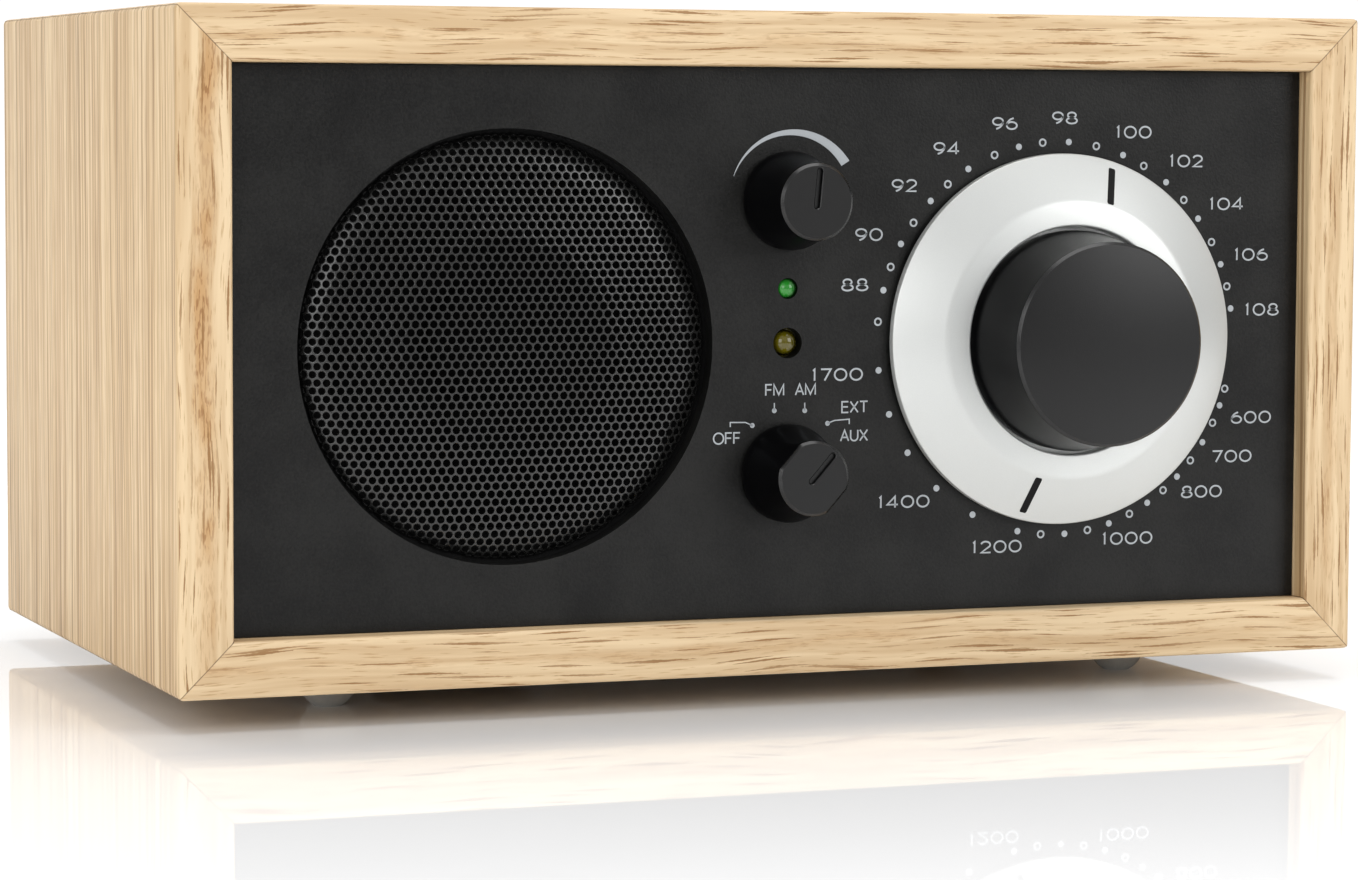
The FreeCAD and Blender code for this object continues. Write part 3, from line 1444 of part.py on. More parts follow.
def transformer():
    """Laminated core with its wound coil, on the cabinet floor beside the mains inlet."""
    x, y = -74.0, CENTRE_Y + 30
    limb = 7.0
    half_width, height, half_stack = 3 * limb, 36.0, 9.0
    coil_gap, winding, coil_ease = 0.2, 6.4, 0.1
    core = new_body("transformer_core")
    low, high = INNER_BOTTOM, INNER_BOTTOM + height

    def lamination(sketch):
        rectangle(sketch, x - half_width, low, x + half_width, high)
        for window_x in (x - 2 * limb, x + limb):
            rectangle(sketch, window_x, low + limb, window_x + limb, high - limb)
    between_y(core, y - half_stack, y + half_stack, lamination)
    keep(core, "transformer_core")
    coil = new_body("transformer_coil")

    def wound(sketch):
        inner_x, inner_y = limb + coil_ease, half_stack + coil_ease
        outer_x, outer_y = inner_x + 6.5, inner_y + winding
        rectangle(sketch, x - outer_x, y - outer_y, x + outer_x, y + outer_y)
        rectangle(sketch, x - inner_x, y - inner_y, x + inner_x, y + inner_y)
    between_z(coil, low + limb + coil_gap, high - limb - coil_gap, wound)
    keep(coil, "transformer_coil")


def board_parts():
    """The larger parts soldered to the circuit board."""
    cans = []
    sizes = ((8, 34, 8.0, 25.0), (28, 34, 8.0, 25.0), (6, 8, 5.0, 12.0), (20, 8, 5.0, 12.0))
    for number, (x, from_centre, radius, height) in enumerate(sizes):
        y = CENTRE_Y + from_centre
        can = rod(f"can_{number}_case", x, y, BOARD_TOP_Z, radius, height, "Z")
        vent = rod(f"can_{number}_dimple", x, y, BOARD_TOP_Z + height - 0.4, radius - 1.2, 1, "Z")
        cans.append(cut(f"can_{number}", can, vent))
    group("filter_capacitors", cans)
    amplifier(44.0, CENTRE_Y + 30)
    can = block("wireless_can", 44, 64, CENTRE_Y - 2, CENTRE_Y + 14, BOARD_TOP_Z + 0.8,
                BOARD_TOP_Z + 3.4)
    carrier = block("wireless_carrier", 42, 66, CENTRE_Y - 4, CENTRE_Y + 20, BOARD_TOP_Z,
                    BOARD_TOP_Z + 0.9)
    keep(fused("wireless_module", [carrier, can]), "wireless_module")


def amplifier(x, y):
    """A finned heat sink with the power amplifier chip against its flat side."""
    fins = [block("heat_sink_plate", x, x + 40, y, y + 3, BOARD_TOP_Z, BOARD_TOP_Z + 24)]
    for k in range(7):
        left = x + 1 + 6 * k
        fins.append(block(f"heat_sink_fin_{k}", left, left + 1.6, y + 2.5, y + 11.5,
                          BOARD_TOP_Z + 4.0, BOARD_TOP_Z + 24))
    keep(fused("heat_sink", fins), "heat_sink")
    chip = block("chip_case", x + 12, x + 28, y - 4.6, y - 0.1, BOARD_TOP_Z + 4, BOARD_TOP_Z + 15)
    pitch = 2.54
    legs = [block(f"chip_leg_{k}", x + 13 + pitch * k, x + 13.7 + pitch * k, y - 3, y - 2.4,
                  BOARD_TOP_Z, BOARD_TOP_Z + 4.5) for k in range(6)]
    keep(fused("amplifier_chip", [chip] + legs), "amplifier_chip")


def ferrite_antenna():
    """The medium-wave rod aerial under the top board, its coil and its two clips."""
    y = CENTRE_Y + 30
    radius = size("ferrite_radius")
    z = INNER_TOP - 9
    start = -12.0
    keep(rod("ferrite_rod", start, y, z, radius, size("ferrite_length"), "X"), "ferrite_rod")
    winding = rod("ferrite_winding", start + 40, y, z, radius + 1.3, 26, "X")
    core = rod("ferrite_core_space", start + 39, y, z, radius + 0.02, 28, "X")
    keep(cut("ferrite_coil", winding, core), "ferrite_coil")
    clips = []
    for number, x in enumerate((start + 8, start + 84)):
        solid = block(f"clip_{number}_solid", x, x + 8, y - 8, y + 8, z - 7, INNER_TOP)
        space = rod(f"clip_{number}_space", x - 1, y, z, radius + 0.02, 10, "X")
        mouth = block(f"clip_{number}_mouth", x - 1, x + 9, y - 4, y + 4, z - 8, z)
        clips.append(cut(f"clip_{number}", solid, fused(f"clip_{number}_hollow", [space, mouth])))
    group("rod_clips", clips)


# ---------------------------------------------------------------- the whole radio

def build():
    cabinet()
    front_battens()
    rear_blocks()
    front_panel()
    front_panel_screws()
    rear_panel()
    rear_panel_screws()
    feet()
    bass_port_tube()
    speaker_grille()
    speaker_basket()
    speaker_motor()
    speaker_moving_parts()
    speaker_screws()
    tuning_knob()
    pinion_shaft()
    tuning_dial()
    planet_carrier()
    planet_gears()
    ring_gear_housing()
    capacitor_frame()
    capacitor_stator()
    capacitor_rotor()
    volume_and_selector()
    control_nuts()
    lamp("green_lamp", "green_lamp_height", "green_lamp_radius", 0.6)
    lamp("amber_lamp", "amber_lamp_height", "amber_lamp_radius", 0.2)
    signal_jacks()
    dc_jack()
    mains_inlet()
    antenna_connector()
    antenna_switch()
    main_board()
    transformer()
    board_parts()
    ferrite_antenna()
    doc.recompute()


def check():
    """Stops with every fault named, before anything is written."""
    faults = []
    for thing in doc.Objects:
        if "Invalid" in thing.State or "Error" in thing.State:
            faults.append(f"{thing.Label}: {thing.State}")
    for part in PARTS:
        if part.Shape.isNull() or not part.Shape.isValid() or part.Shape.Volume <= 0:
            faults.append(f"{part.Label}: bad shape")
    if faults:
        raise RuntimeError("; ".join(faults))


def write():
    os.makedirs("parts", exist_ok=True)
    for part in PARTS:
        part.Shape.exportStep(f"parts/{part.Label}.step")
        box = part.Shape.BoundBox
        print(f"{part.Label:24s} solids {len(part.Shape.Solids)}  volume {part.Shape.Volume:10.1f}"
              f"  x {box.XMin:7.1f} {box.XMax:7.1f}  y {box.YMin:7.1f} {box.YMax:7.1f}"
              f"  z {box.ZMin:7.1f} {box.ZMax:7.1f}")


build()
check()
write()
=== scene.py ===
"""Looks for the wooden table radio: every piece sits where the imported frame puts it."""

import json
import math

import bmesh
import bpy
from mathutils import Matrix, Vector


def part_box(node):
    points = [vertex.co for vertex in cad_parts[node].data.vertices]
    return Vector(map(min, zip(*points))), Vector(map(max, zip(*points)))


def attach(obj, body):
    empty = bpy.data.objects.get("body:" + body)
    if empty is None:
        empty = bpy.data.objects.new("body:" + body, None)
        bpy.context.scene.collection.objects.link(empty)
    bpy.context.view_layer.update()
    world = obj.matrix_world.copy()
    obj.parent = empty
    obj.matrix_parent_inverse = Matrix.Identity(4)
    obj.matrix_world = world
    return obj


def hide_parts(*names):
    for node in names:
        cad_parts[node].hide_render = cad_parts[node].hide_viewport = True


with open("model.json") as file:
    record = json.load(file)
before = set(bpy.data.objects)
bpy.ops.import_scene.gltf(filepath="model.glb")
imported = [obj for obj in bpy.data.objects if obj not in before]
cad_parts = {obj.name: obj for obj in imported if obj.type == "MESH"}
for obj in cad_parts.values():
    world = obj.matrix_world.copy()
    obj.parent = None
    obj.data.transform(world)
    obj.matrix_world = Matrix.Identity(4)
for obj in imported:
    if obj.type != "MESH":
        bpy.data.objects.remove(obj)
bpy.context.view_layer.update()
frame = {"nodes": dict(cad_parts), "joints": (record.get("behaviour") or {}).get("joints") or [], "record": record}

MM = 0.001
TAU = 2 * math.pi


# ---- places, in millimetres

def box_mm(node):
    """Lowest and highest corner of a CAD node, in millimetres."""
    low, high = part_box(node)
    return low / MM, high / MM


def middle(node):
    """The middle of a CAD node's box, in millimetres."""
    low, high = box_mm(node)
    return (low + high) / 2


PANEL_LOW, PANEL_HIGH = box_mm("front_panel")
PANEL_Y = PANEL_LOW.y
PANEL_X = (PANEL_LOW.x + PANEL_HIGH.x) / 2
LEFT_LOW, LEFT_HIGH = box_mm("cabinet_left")
CABINET_LOW = Vector((LEFT_LOW.x, LEFT_LOW.y, box_mm("cabinet_bottom")[0].z))
CABINET_HIGH = Vector((box_mm("cabinet_right")[1].x, LEFT_HIGH.y, box_mm("cabinet_top")[1].z))
CABINET_BOTTOM = CABINET_LOW.z
INK_Y = PANEL_Y - 0.02

JOINT_PLACE = {joint["name"]: Vector(joint["pos_m"]) / MM for joint in frame["joints"]
               if "pos_m" in joint}
DIAL = JOINT_PLACE["dial_turn"]
VOLUME = JOINT_PLACE["volume_turn"]
SELECTOR = JOINT_PLACE["selector_turn"]
SPEAKER = middle("speaker_grille")
GREEN = middle("green_lamp")
AMBER = middle("amber_lamp")


# ---- shader helpers

def colour(red, green, blue):
    """A display colour, 0 to 255, as the linear values that shaders use."""
    linear = []
    for part in (red, green, blue):
        part = part / 255
        linear.append(part / 12.92 if part <= 0.04045 else ((part + 0.055) / 1.055) ** 2.4)
    return (*linear, 1.0)


def add_node(tree, kind, inputs, output=0, **settings):
    """Add a node, fill its inputs by name or number with values or links, return one output."""
    made = tree.nodes.new(kind)
    for name, value in settings.items():
        setattr(made, name, value)
    for key, value in inputs.items():
        if isinstance(value, bpy.types.NodeSocket):
            tree.links.new(value, made.inputs[key])
        else:
            made.inputs[key].default_value = value
    return made.outputs[output]


class Shader:
    """A node material, with one short call for each kind of node it uses."""

    def __init__(self, name, roughness=0.5, metallic=0.0, specular=0.5, **sockets):
        self.material = bpy.data.materials.new(name)
        self.material.use_nodes = True
        self.tree = self.material.node_tree
        self.surface = self.tree.nodes["Principled BSDF"]
        self.set("Roughness", roughness)
        self.set("Metallic", metallic)
        self.set("Specular IOR Level", specular)
        for socket, value in sockets.items():
            self.set(socket.replace("_", " "), value)

    def set(self, socket, value):
        """Give a surface socket a constant or a link."""
        if isinstance(value, bpy.types.NodeSocket):
            self.tree.links.new(value, self.surface.inputs[socket])
        else:
            self.surface.inputs[socket].default_value = value

    def node(self, kind, inputs, output=0, **settings):
        return add_node(self.tree, kind, inputs, output, **settings)

    def place(self, scale=1, shift=(0, 0, 0)):
        """Object coordinates in millimetres, times a scale for all or for each axis, and moved."""
        objects = self.node("ShaderNodeTexCoord", {}, "Object")
        scales = scale if isinstance(scale, tuple) else (scale,) * 3
        factors = tuple(part / MM for part in scales)
        return self.node("ShaderNodeMapping", {
            "Vector": objects, "Scale": factors, "Location": shift})

    def cloud(self, scale, detail=2.0, shift=(0, 0, 0)):
        """Noise in object coordinates."""
        return self.noise(self.place(scale, shift), detail)

    def normal(self):
        """The surface normal in the object's own axes, apart from bump."""
        return self.node("ShaderNodeTexCoord", {}, "Normal")

    def noise(self, where, detail=2.0, roughness=0.5):
        return self.node("ShaderNodeTexNoise", {
            "Vector": where, "Scale": 1.0, "Detail": detail, "Roughness": roughness})

    def cells(self, where, output="Distance"):
        """A flat point scatter: the distance to the nearest point, or its random colour."""
        return self.node("ShaderNodeTexVoronoi", {"Vector": where, "Scale": 1.0}, output,
                         voronoi_dimensions="2D", distance="MANHATTAN")

    def maths(self, operation, first, second=0.0, third=0.0):
        return self.node("ShaderNodeMath", {0: first, 1: second, 2: third}, operation=operation)

    def split(self, vector, axis):
        return self.node("ShaderNodeSeparateXYZ", {0: vector}, "XYZ".index(axis))

    def joined(self, *parts):
        """A vector of three parts, each a value or a (value, size) pair for value over size."""
        values = [self.maths("DIVIDE", *part) if isinstance(part, tuple) else part
                  for part in parts]
        return self.node("ShaderNodeCombineXYZ", dict(enumerate(values)))

    def step(self, value, low, high, out_low=0.0, out_high=1.0):
        """A smooth step from out_low to out_high as value goes from low to high."""
        return self.node("ShaderNodeMapRange", {
            "Value": value, "From Min": low, "From Max": high, "To Min": out_low,
            "To Max": out_high}, interpolation_type="SMOOTHSTEP")

    def mix(self, share, first, second):
        """Blend two colours."""
        return self.node("ShaderNodeMix", {0: share, 6: first, 7: second}, 2, data_type="RGBA")

    def bump(self, height, depth):
        """Raise the surface by height, depth millimetres at most."""
        self.set("Normal", self.node("ShaderNodeBump", {
            "Height": height, "Distance": depth * MM, "Strength": 1.0}))


BLOTCH = 12.0


def grained(name, base, spread, grain, roughness, bump=0.02, metallic=0.0, specular=0.5):
    """A moulded or painted finish: faint blotches, fine grain in the bump and the gloss."""
    shader = Shader(name, roughness, metallic, specular)
    wide = shader.cloud(1 / BLOTCH, 3.0)
    fine = shader.cloud(1 / grain)
    dark = tuple(part * (1 - spread) for part in base[:3]) + (1.0,)
    light = tuple(min(1.0, part * (1 + spread)) for part in base[:3]) + (1.0,)
    blend = shader.maths("MULTIPLY_ADD", wide, 0.6, shader.maths("MULTIPLY", fine, 0.4))
    shader.set("Base Color", shader.mix(shader.step(blend, 0.3, 0.7), dark, light))
    shader.set("Roughness", shader.step(fine, 0.2, 0.8, roughness - 0.05, roughness + 0.05))
    shader.bump(fine, bump)
    return shader.material


# ---- materials

def oak(name, seed, figure):
    """Oiled oak. Local X runs along the grain, Y across the board and Z through it."""
    shader = Shader(name, 0.5, specular=0.3)
    offset = (seed * 13.7, seed * 7.3, seed * 3.1)
    where = shader.place(shift=offset)
    x, y, z = (shader.split(where, axis) for axis in "XYZ")
    facing = shader.maths("ABSOLUTE", shader.split(shader.normal(), "Y"))
    on_edge = shader.step(facing, 0.55, 0.85)
    tint = shader.mix(on_edge, oak_face(shader, offset, x, y, z),
                      oak_edge(shader, offset, x, y, z, figure))
    seam = shader.node("ShaderNodeAttribute", {}, "Fac", attribute_name="seam")
    fade = shader.cloud(1 / 6, 1.0)
    seam = shader.maths("MULTIPLY", seam, shader.step(fade, 0.3, 0.6, 0.5, 1.0))
    tint = shader.mix(seam, tint, colour(84, 56, 34))
    shader.set("Base Color", tint)
    fibre = shader.noise(shader.joined((x, 30.0), (y, 0.35), (z, 0.35)), detail=1.0)
    shader.set("Roughness", shader.step(fibre, 0.2, 0.8, 0.42, 0.58))
    shader.bump(fibre, 0.04)
    return shader.material


def oak_face(shader, offset, x, y, z):
    """The broad side of a board: fine straight lines, some strong, fading in and out."""
    drift = shader.cloud((1 / 90, 1 / 40, 1 / 40), 1.0, offset)
    ring = shader.maths("MULTIPLY_ADD", drift, 3.0, y)

    def lines(length, width, low, high, most, detail=1.0):
        """Noise drawn out along the grain, as a mask between two levels."""
        spot = shader.joined((x, length), (ring, width), (z, 20.0))
        return shader.step(shader.noise(spot, detail=detail), low, high, 0.0, most)

    tint = shader.mix(lines(160, 13, 0.35, 0.65, 1.0, 2.0), colour(207, 178, 138),
                      colour(216, 189, 148))
    tint = shader.mix(lines(150, 1.7, 0.47, 0.56, 0.6), tint, colour(232, 209, 172))
    tint = shader.mix(lines(140, 1.2, 0.53, 0.58, 0.65), tint, colour(179, 146, 103))
    tint = shader.mix(lines(110, 0.9, 0.60, 0.65, 0.75), tint, colour(142, 108, 70))
    return shader.mix(lines(9, 0.5, 0.40, 0.62, 0.26), tint, colour(160, 128, 90))


def oak_edge(shader, offset, x, y, z, figure):
    """The narrow edge of a board: cream wood, pointed pores and a speckled brown figure."""
    lean = shader.cloud((1 / 34, 1 / 30, 1 / 14), 1.0, offset)
    level = shader.maths("MULTIPLY_ADD", lean, 3.4, z)
    level = shader.maths("MULTIPLY_ADD", y, 0.37, level)

    def band(length, width, shift, detail=2.0):
        spot = shader.joined((x, length), (level, width), shift)
        return shader.noise(spot, detail=detail, roughness=0.6)

    def dashes(length, width, low, high):
        """Pores cut open on the edge: slim pointed dashes with ragged sides."""
        lattice = shader.joined((x, length), (level, width), 0.0)
        chance = shader.split(shader.cells(lattice, "Color"), "X")
        reach = shader.maths("MULTIPLY_ADD", chance, high - low, low)
        share = shader.maths("DIVIDE", shader.cells(lattice), reach)
        ragged = shader.cloud((1.2, 4, 4), 1.0, offset)
        share = shader.maths("MULTIPLY_ADD", ragged, 0.6, share)
        return shader.step(share, 0.95, 1.15, 1.0, 0.0)

    tint = shader.mix(shader.step(band(90, 2.4, 0.0), 0.36, 0.64), colour(204, 175, 136),
                      colour(225, 200, 162))
    wander = shader.noise(shader.joined((x, 45.0), 0.0, 0.0), detail=2.0)
    centre = shader.maths("MULTIPLY_ADD", wander, 9.0, offset[2] + 0.2)
    apart = shader.maths("ABSOLUTE", shader.maths("SUBTRACT", z, centre))
    edge = shader.maths("MULTIPLY_ADD", band(9, 1.0, 3.0, 3.0), 3.2, apart)
    streak = shader.step(edge, 1.0 + figure, 3.0 + figure, figure, 0.0)
    streak = shader.maths("MULTIPLY", streak, shader.step(band(16, 9.0, 5.0), 0.38, 0.6, 0.3, 1.0))
    tint = shader.mix(streak, tint, colour(192, 152, 104))
    speck = shader.cloud((0.45, 2.8, 2.8), 2.0, offset)
    specks = shader.maths("MULTIPLY", shader.step(speck, 0.51, 0.62, 0.0, 0.8), streak)
    tint = shader.mix(specks, tint, colour(142, 96, 54))
    clusters = shader.step(band(30, 3.2, 7.0), 0.36, 0.54, 0.45, 1.0)
    pits = shader.maths("MULTIPLY", dashes(9.0, 0.55, 0.10, 0.34), 0.5)
    tint = shader.mix(pits, tint, colour(174, 136, 90))
    pores = shader.maths("MULTIPLY", dashes(32.0, 0.95, 0.12, 0.38), clusters)
    return shader.mix(shader.maths("MULTIPLY", pores, 0.85), tint, colour(142, 101, 56))


def knob_finish():
    """Fine-textured black, with painted light and shade: the face is painted a little greyer than the deep black
    side.
    """
    shader = Shader("knob_grey", 0.38)
    texture = shader.cloud(6)
    ahead = shader.maths("ABSOLUTE", shader.split(shader.normal(), "Y"))
    flat = shader.step(ahead, 0.35, 0.9)
    rim = shader.maths("MULTIPLY", shader.step(ahead, 0.4, 0.6),
                       shader.step(ahead, 0.86, 0.96, 1.0, 0.0))
    # Painted light and shade: the front-facing face gets a greyer base colour and the side a near-black one, for
    # the lamps lighting the face more than the side.
    face = shader.mix(shader.step(texture, 0.3, 0.7), colour(5, 5, 6), colour(10, 10, 10))
    shader.set("Base Color", shader.mix(flat, colour(3, 3, 4), face))
    gloss = shader.maths("MULTIPLY_ADD", flat, 0.3, 0.1)
    shader.set("Specular IOR Level", shader.maths("MULTIPLY_ADD", rim, 0.2, gloss))
    shader.set("Roughness", shader.maths("MULTIPLY_ADD", rim, -0.1,
                                         shader.step(texture, 0.2, 0.8, 0.30, 0.38)))
    shader.bump(texture, 0.012)
    return shader.material


def satin_silver():
    """Silver lacquer on the dial, with faint turning marks round its axis."""
    shader = Shader("satin_silver", 0.4, metallic=0.5, specular=0.5)
    where = shader.place(shift=(-DIAL.x, 0, -DIAL.z))
    x = shader.split(where, "X")
    z = shader.split(where, "Z")
    radius = shader.maths("SQRT", shader.maths(
        "MULTIPLY_ADD", x, x, shader.maths("MULTIPLY", z, z)))
    rings = shader.noise(shader.joined(shader.maths("MULTIPLY", radius, 4.0), 0.0, 0.0), detail=2.0)
    speckle = shader.cloud(9, 1.0)
    shader.set("Base Color", shader.mix(speckle, colour(208, 210, 208), colour(218, 220, 218)))
    shader.set("Roughness", shader.step(rings, 0.2, 0.8, 0.33, 0.40))
    shader.bump(shader.maths("MULTIPLY_ADD", rings, 0.5, speckle), 0.004)
    return shader.material


def lens(name, tint, glow):
    """A tinted plastic lamp: its own tint in the middle, with painted shade darkening it where it turns away from
    the view.
    """
    shader = Shader(name, 0.08, specular=0.6)
    haze = shader.cloud(0.5, 1.0)
    painted_rim_shade = tuple(part * 0.12 for part in tint[:3]) + (1.0,)
    dark = tuple(part * 0.8 for part in tint[:3]) + (1.0,)
    # Painted shade: the colour darkens towards the edge where the lens turns away from the view.
    turned_away = shader.node("ShaderNodeLayerWeight", {"Blend": 0.5}, "Facing")
    body = shader.mix(shader.step(haze, 0.3, 0.7), dark, tint)
    body = shader.mix(shader.step(turned_away, 0.1, 0.65), body, painted_rim_shade)
    shader.set("Base Color", body)
    shader.set("Emission Color", body)
    shader.set("Emission Strength", glow)
    shader.bump(haze, 0.003)
    return shader.material


def clear_rubber():
    """Clear soft bumper plastic with a slight haze."""
    shader = Shader("clear_rubber", 0.2, specular=0.5, Transmission_Weight=0.25, IOR=1.45)
    haze = shader.cloud(0.7, 3.0)
    shader.set("Base Color", shader.mix(haze, colour(214, 216, 214), colour(240, 241, 238)))
    shader.bump(haze, 0.02)
    return shader.material


def circuit_green():
    """Solder mask over copper tracks."""
    shader = Shader("circuit_green", 0.32, specular=0.5)
    tracks = shader.node("ShaderNodeTexBrick", {
        "Vector": shader.place(1 / 7), "Scale": 1.0, "Mortar Size": 0.06,
        "Color1": colour(20, 84, 48), "Color2": colour(24, 92, 52), "Mortar": colour(54, 128, 70)})
    shader.set("Base Color", tracks)
    shader.bump(shader.cloud(2), 0.01)
    return shader.material


def pine():
    """Plain sawn softwood for the hidden blocks."""
    shader = Shader("pine", 0.7, specular=0.3)
    rings = shader.cloud((1 / 2.5, 1 / 40, 1 / 2.5), 3.0)
    fibre = shader.cloud((3, 1 / 12, 3))
    shader.set("Base Color", shader.mix(shader.step(rings, 0.35, 0.65),
                                        colour(196, 156, 104), colour(222, 190, 142)))
    shader.bump(fibre, 0.05)
    return shader.material


def make_materials():
    """One finish for each of the record's material slots."""
    made = {
        "oak": oak("oak_plain", 5, 0.3), "pine": pine(), "dial_silver": satin_silver(),
        "knob_grey": knob_finish(), "clear_rubber": clear_rubber(),
        "circuit_green": circuit_green(),
        "green_lens": lens("green_lens", colour(40, 130, 42), 0.16),
        "amber_lens": lens("amber_lens", colour(92, 84, 10), 0.05)}

    def add(name, rgb, *grain, **rest):
        made[name] = grained(name, colour(*rgb), *grain, **rest)

    add("panel_paint", (19, 19, 18), 0.7, 0.4, 0.38, bump=0.04, specular=0.26)
    add("rear_board", (30, 30, 31), 0.15, 0.5, 0.6, bump=0.05)
    add("black_metal", (22, 22, 22), 0.2, 0.3, 0.38, bump=0.01)
    add("black_plastic", (20, 20, 21), 0.15, 0.3, 0.45)
    add("white_plastic", (226, 225, 220), 0.04, 0.4, 0.4)
    add("steel", (190, 190, 188), 0.08, 0.25, 0.3, metallic=1.0)
    add("brass", (206, 172, 104), 0.1, 0.3, 0.28, metallic=1.0)
    add("copper", (196, 120, 78), 0.15, 0.25, 0.3, metallic=1.0)
    add("aluminium", (214, 216, 218), 0.06, 0.3, 0.35, metallic=1.0)
    add("ferrite", (52, 50, 50), 0.2, 0.6, 0.7, bump=0.04)
    add("paper", (7, 7, 7), 0.25, 0.5, 0.9, bump=0.08, specular=0.1)
    add("soft_rubber", (8, 8, 8), 0.15, 0.4, 0.8, specular=0.15)
    add("spider_cloth", (196, 158, 92), 0.2, 0.35, 0.85, bump=0.1)
    return made


MATERIALS = make_materials()


def finish_cad_nodes():
    """Give every CAD node that stays its slot's finish."""
    for part in frame["record"]["subparts"]:
        cad_node = frame["nodes"].get(part["node"])
        if cad_node is None:
            continue
        cad_node.data.materials.clear()
        cad_node.data.materials.append(MATERIALS[part["material_slot"]])
        cad_node.data.set_sharp_from_angle(angle=math.radians(30))


# ---- mesh helpers, in millimetres

def mesh_mm(name, points, faces):
    """A mesh from points in millimetres."""
    mesh = bpy.data.meshes.new(name)
    mesh.from_pydata([Vector(point) * MM for point in points], [], faces)
    return mesh


def placed(name, data):
    """An object in the scene that shows a mesh, a light or a camera."""
    made = bpy.data.objects.new(name, data)
    bpy.context.scene.collection.objects.link(made)
    return made


def smoothed(mesh, degrees):
    """Shade smooth, with sharp edges where faces meet at more than an angle."""
    mesh.shade_smooth()
    mesh.set_sharp_from_angle(angle=math.radians(degrees))


def piece(name, points, faces, body, slot=None, stands_for=(), material=None, sharp=35.0,
          tidy=True):
    """A mesh piece made in the row frame, riding on a body, in its slot's finish or its own."""
    mesh = mesh_mm(name, points, faces)
    if tidy:
        clean(mesh)
    mesh.materials.append(material or MATERIALS[slot])
    smoothed(mesh, sharp)
    made = placed(name, mesh)
    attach(made, body)
    if stands_for:
        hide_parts(*stands_for)
    return made


def clean(mesh, outwards=True):
    """Merge doubled points, drop collapsed faces and turn what is left outwards."""
    work = bmesh.new()
    work.from_mesh(mesh)
    bmesh.ops.remove_doubles(work, verts=work.verts, dist=1e-6)
    bmesh.ops.dissolve_degenerate(work, edges=work.edges, dist=1e-7)
    if outwards:
        bmesh.ops.recalc_face_normals(work, faces=work.faces)
    work.to_mesh(mesh)
    work.free()


def arc(cx, cy, rx, ry, first, last, steps):
    """Points on part of an ellipse, between two angles in degrees."""
    return [(cx + rx * math.cos(math.radians(first + (last - first) * step / steps)),
             cy + ry * math.sin(math.radians(first + (last - first) * step / steps)))
            for step in range(steps + 1)]


def ring_faces(size, rings, first=0, capped=True):
    """Faces between stacked rings of points, with a cap on each end unless told otherwise."""
    last = first + (rings - 1) * size
    faces = []
    if capped:
        faces = [tuple(range(first, first + size)), tuple(reversed(range(last, last + size)))]
    for ring in range(first, last, size):
        for spot in range(size):
            following = (spot + 1) % size
            faces.append((ring + spot, ring + following,
                          ring + size + following, ring + size + spot))
    return faces


def softened(profile, steps=6):
    """A polyline of (radius, y, rounding) points with its corners rounded by arcs."""
    made = []
    for index, (radius, y, rounding) in enumerate(profile):
        here = Vector((radius, y))
        if not rounding or index in (0, len(profile) - 1):
            made.append(here)
            continue
        before = Vector(profile[index - 1][:2]) - here
        after = Vector(profile[index + 1][:2]) - here
        half = before.angle(after) / 2
        reach = min(rounding / math.tan(half), before.length * 0.49, after.length * 0.49)
        rounding = reach * math.tan(half)
        start = here + before.normalized() * reach
        end = here + after.normalized() * reach
        centre = here + (before.normalized() + after.normalized()).normalized() * (
            rounding / math.sin(half))
        for step in range(steps + 1):
            spoke = (start - centre).lerp(end - centre, step / steps).normalized()
            made.append(centre + spoke * rounding)
    return made


def turned_mesh(profile, centre, segments=192):
    """Points and faces of a profile of (radius, y) turned round the Y axis through centre."""
    points = []
    for radius, y in profile:
        for segment in range(segments):
            angle = TAU * segment / segments
            points.append((centre.x + radius * math.cos(angle), y,
                           centre.z + radius * math.sin(angle)))
    return points, ring_faces(segments, len(profile), capped=False)


def turned(name, profile, centre, body, segments=192, **rest):
    """A turned piece on an axis along Y."""
    return piece(name, *turned_mesh(profile, centre, segments), body, **rest)


def cutter(points, faces):
    """An object used once to cut another, then thrown away."""
    mesh = mesh_mm("cutter", points, faces)
    clean(mesh)
    return placed("cutter", mesh)


def cut_away(target, tool):
    """Cut the tool's shape out of the target's mesh for good."""
    modifier = target.modifiers.new("cut", "BOOLEAN")
    modifier.operation = "DIFFERENCE"
    modifier.solver = "EXACT"
    modifier.object = tool
    bpy.context.view_layer.update()
    result = bpy.data.meshes.new_from_object(
        target.evaluated_get(bpy.context.evaluated_depsgraph_get()))
    target.modifiers.remove(modifier)
    target.data = result
    smoothed(result, 35)
    bpy.data.objects.remove(tool)


# ---- cabinet

EDGE_ROUND = 0.7
CORNER_ROUND = 0.9
SEAM_WIDTH = 0.17
SEAM_DEPTH = 0.02
ROUND_STEPS = 5
PORT_SEGMENTS = 96
BOARD_CUT = 15
PAST = 5


def board_section(depth, thickness):
    """The rounded rectangle across a board, as (across, through) points."""
    section = []
    corners = ((-1, 0, 180), (1, 0, 270), (1, 1, 0), (-1, 1, 90))
    for side, far, first in corners:
        centre = (side * (depth / 2 - EDGE_ROUND),
                  thickness - EDGE_ROUND if far else EDGE_ROUND)
        section += arc(*centre, EDGE_ROUND, EDGE_ROUND, first, first + 90, ROUND_STEPS)
    return section


def board_stations(length, thickness, through):
    """How one long line of a board ends at its mitre: (along, through, seam) from middle to end."""
    line = [(length / 2 - thickness - 2.0, through, 0.0)]
    for step in range(ROUND_STEPS + 1):
        angle = math.radians(45 * step / ROUND_STEPS)
        level = max(through, CORNER_ROUND * (1 - math.cos(angle)))
        along = length / 2 - CORNER_ROUND * (1 - math.sin(angle))
        line.append((min(along, length / 2 - level) - SEAM_WIDTH, level, 0.0))
    along, level, _ = line[-1]
    line.append((along + SEAM_WIDTH, level, 1.0))
    return line


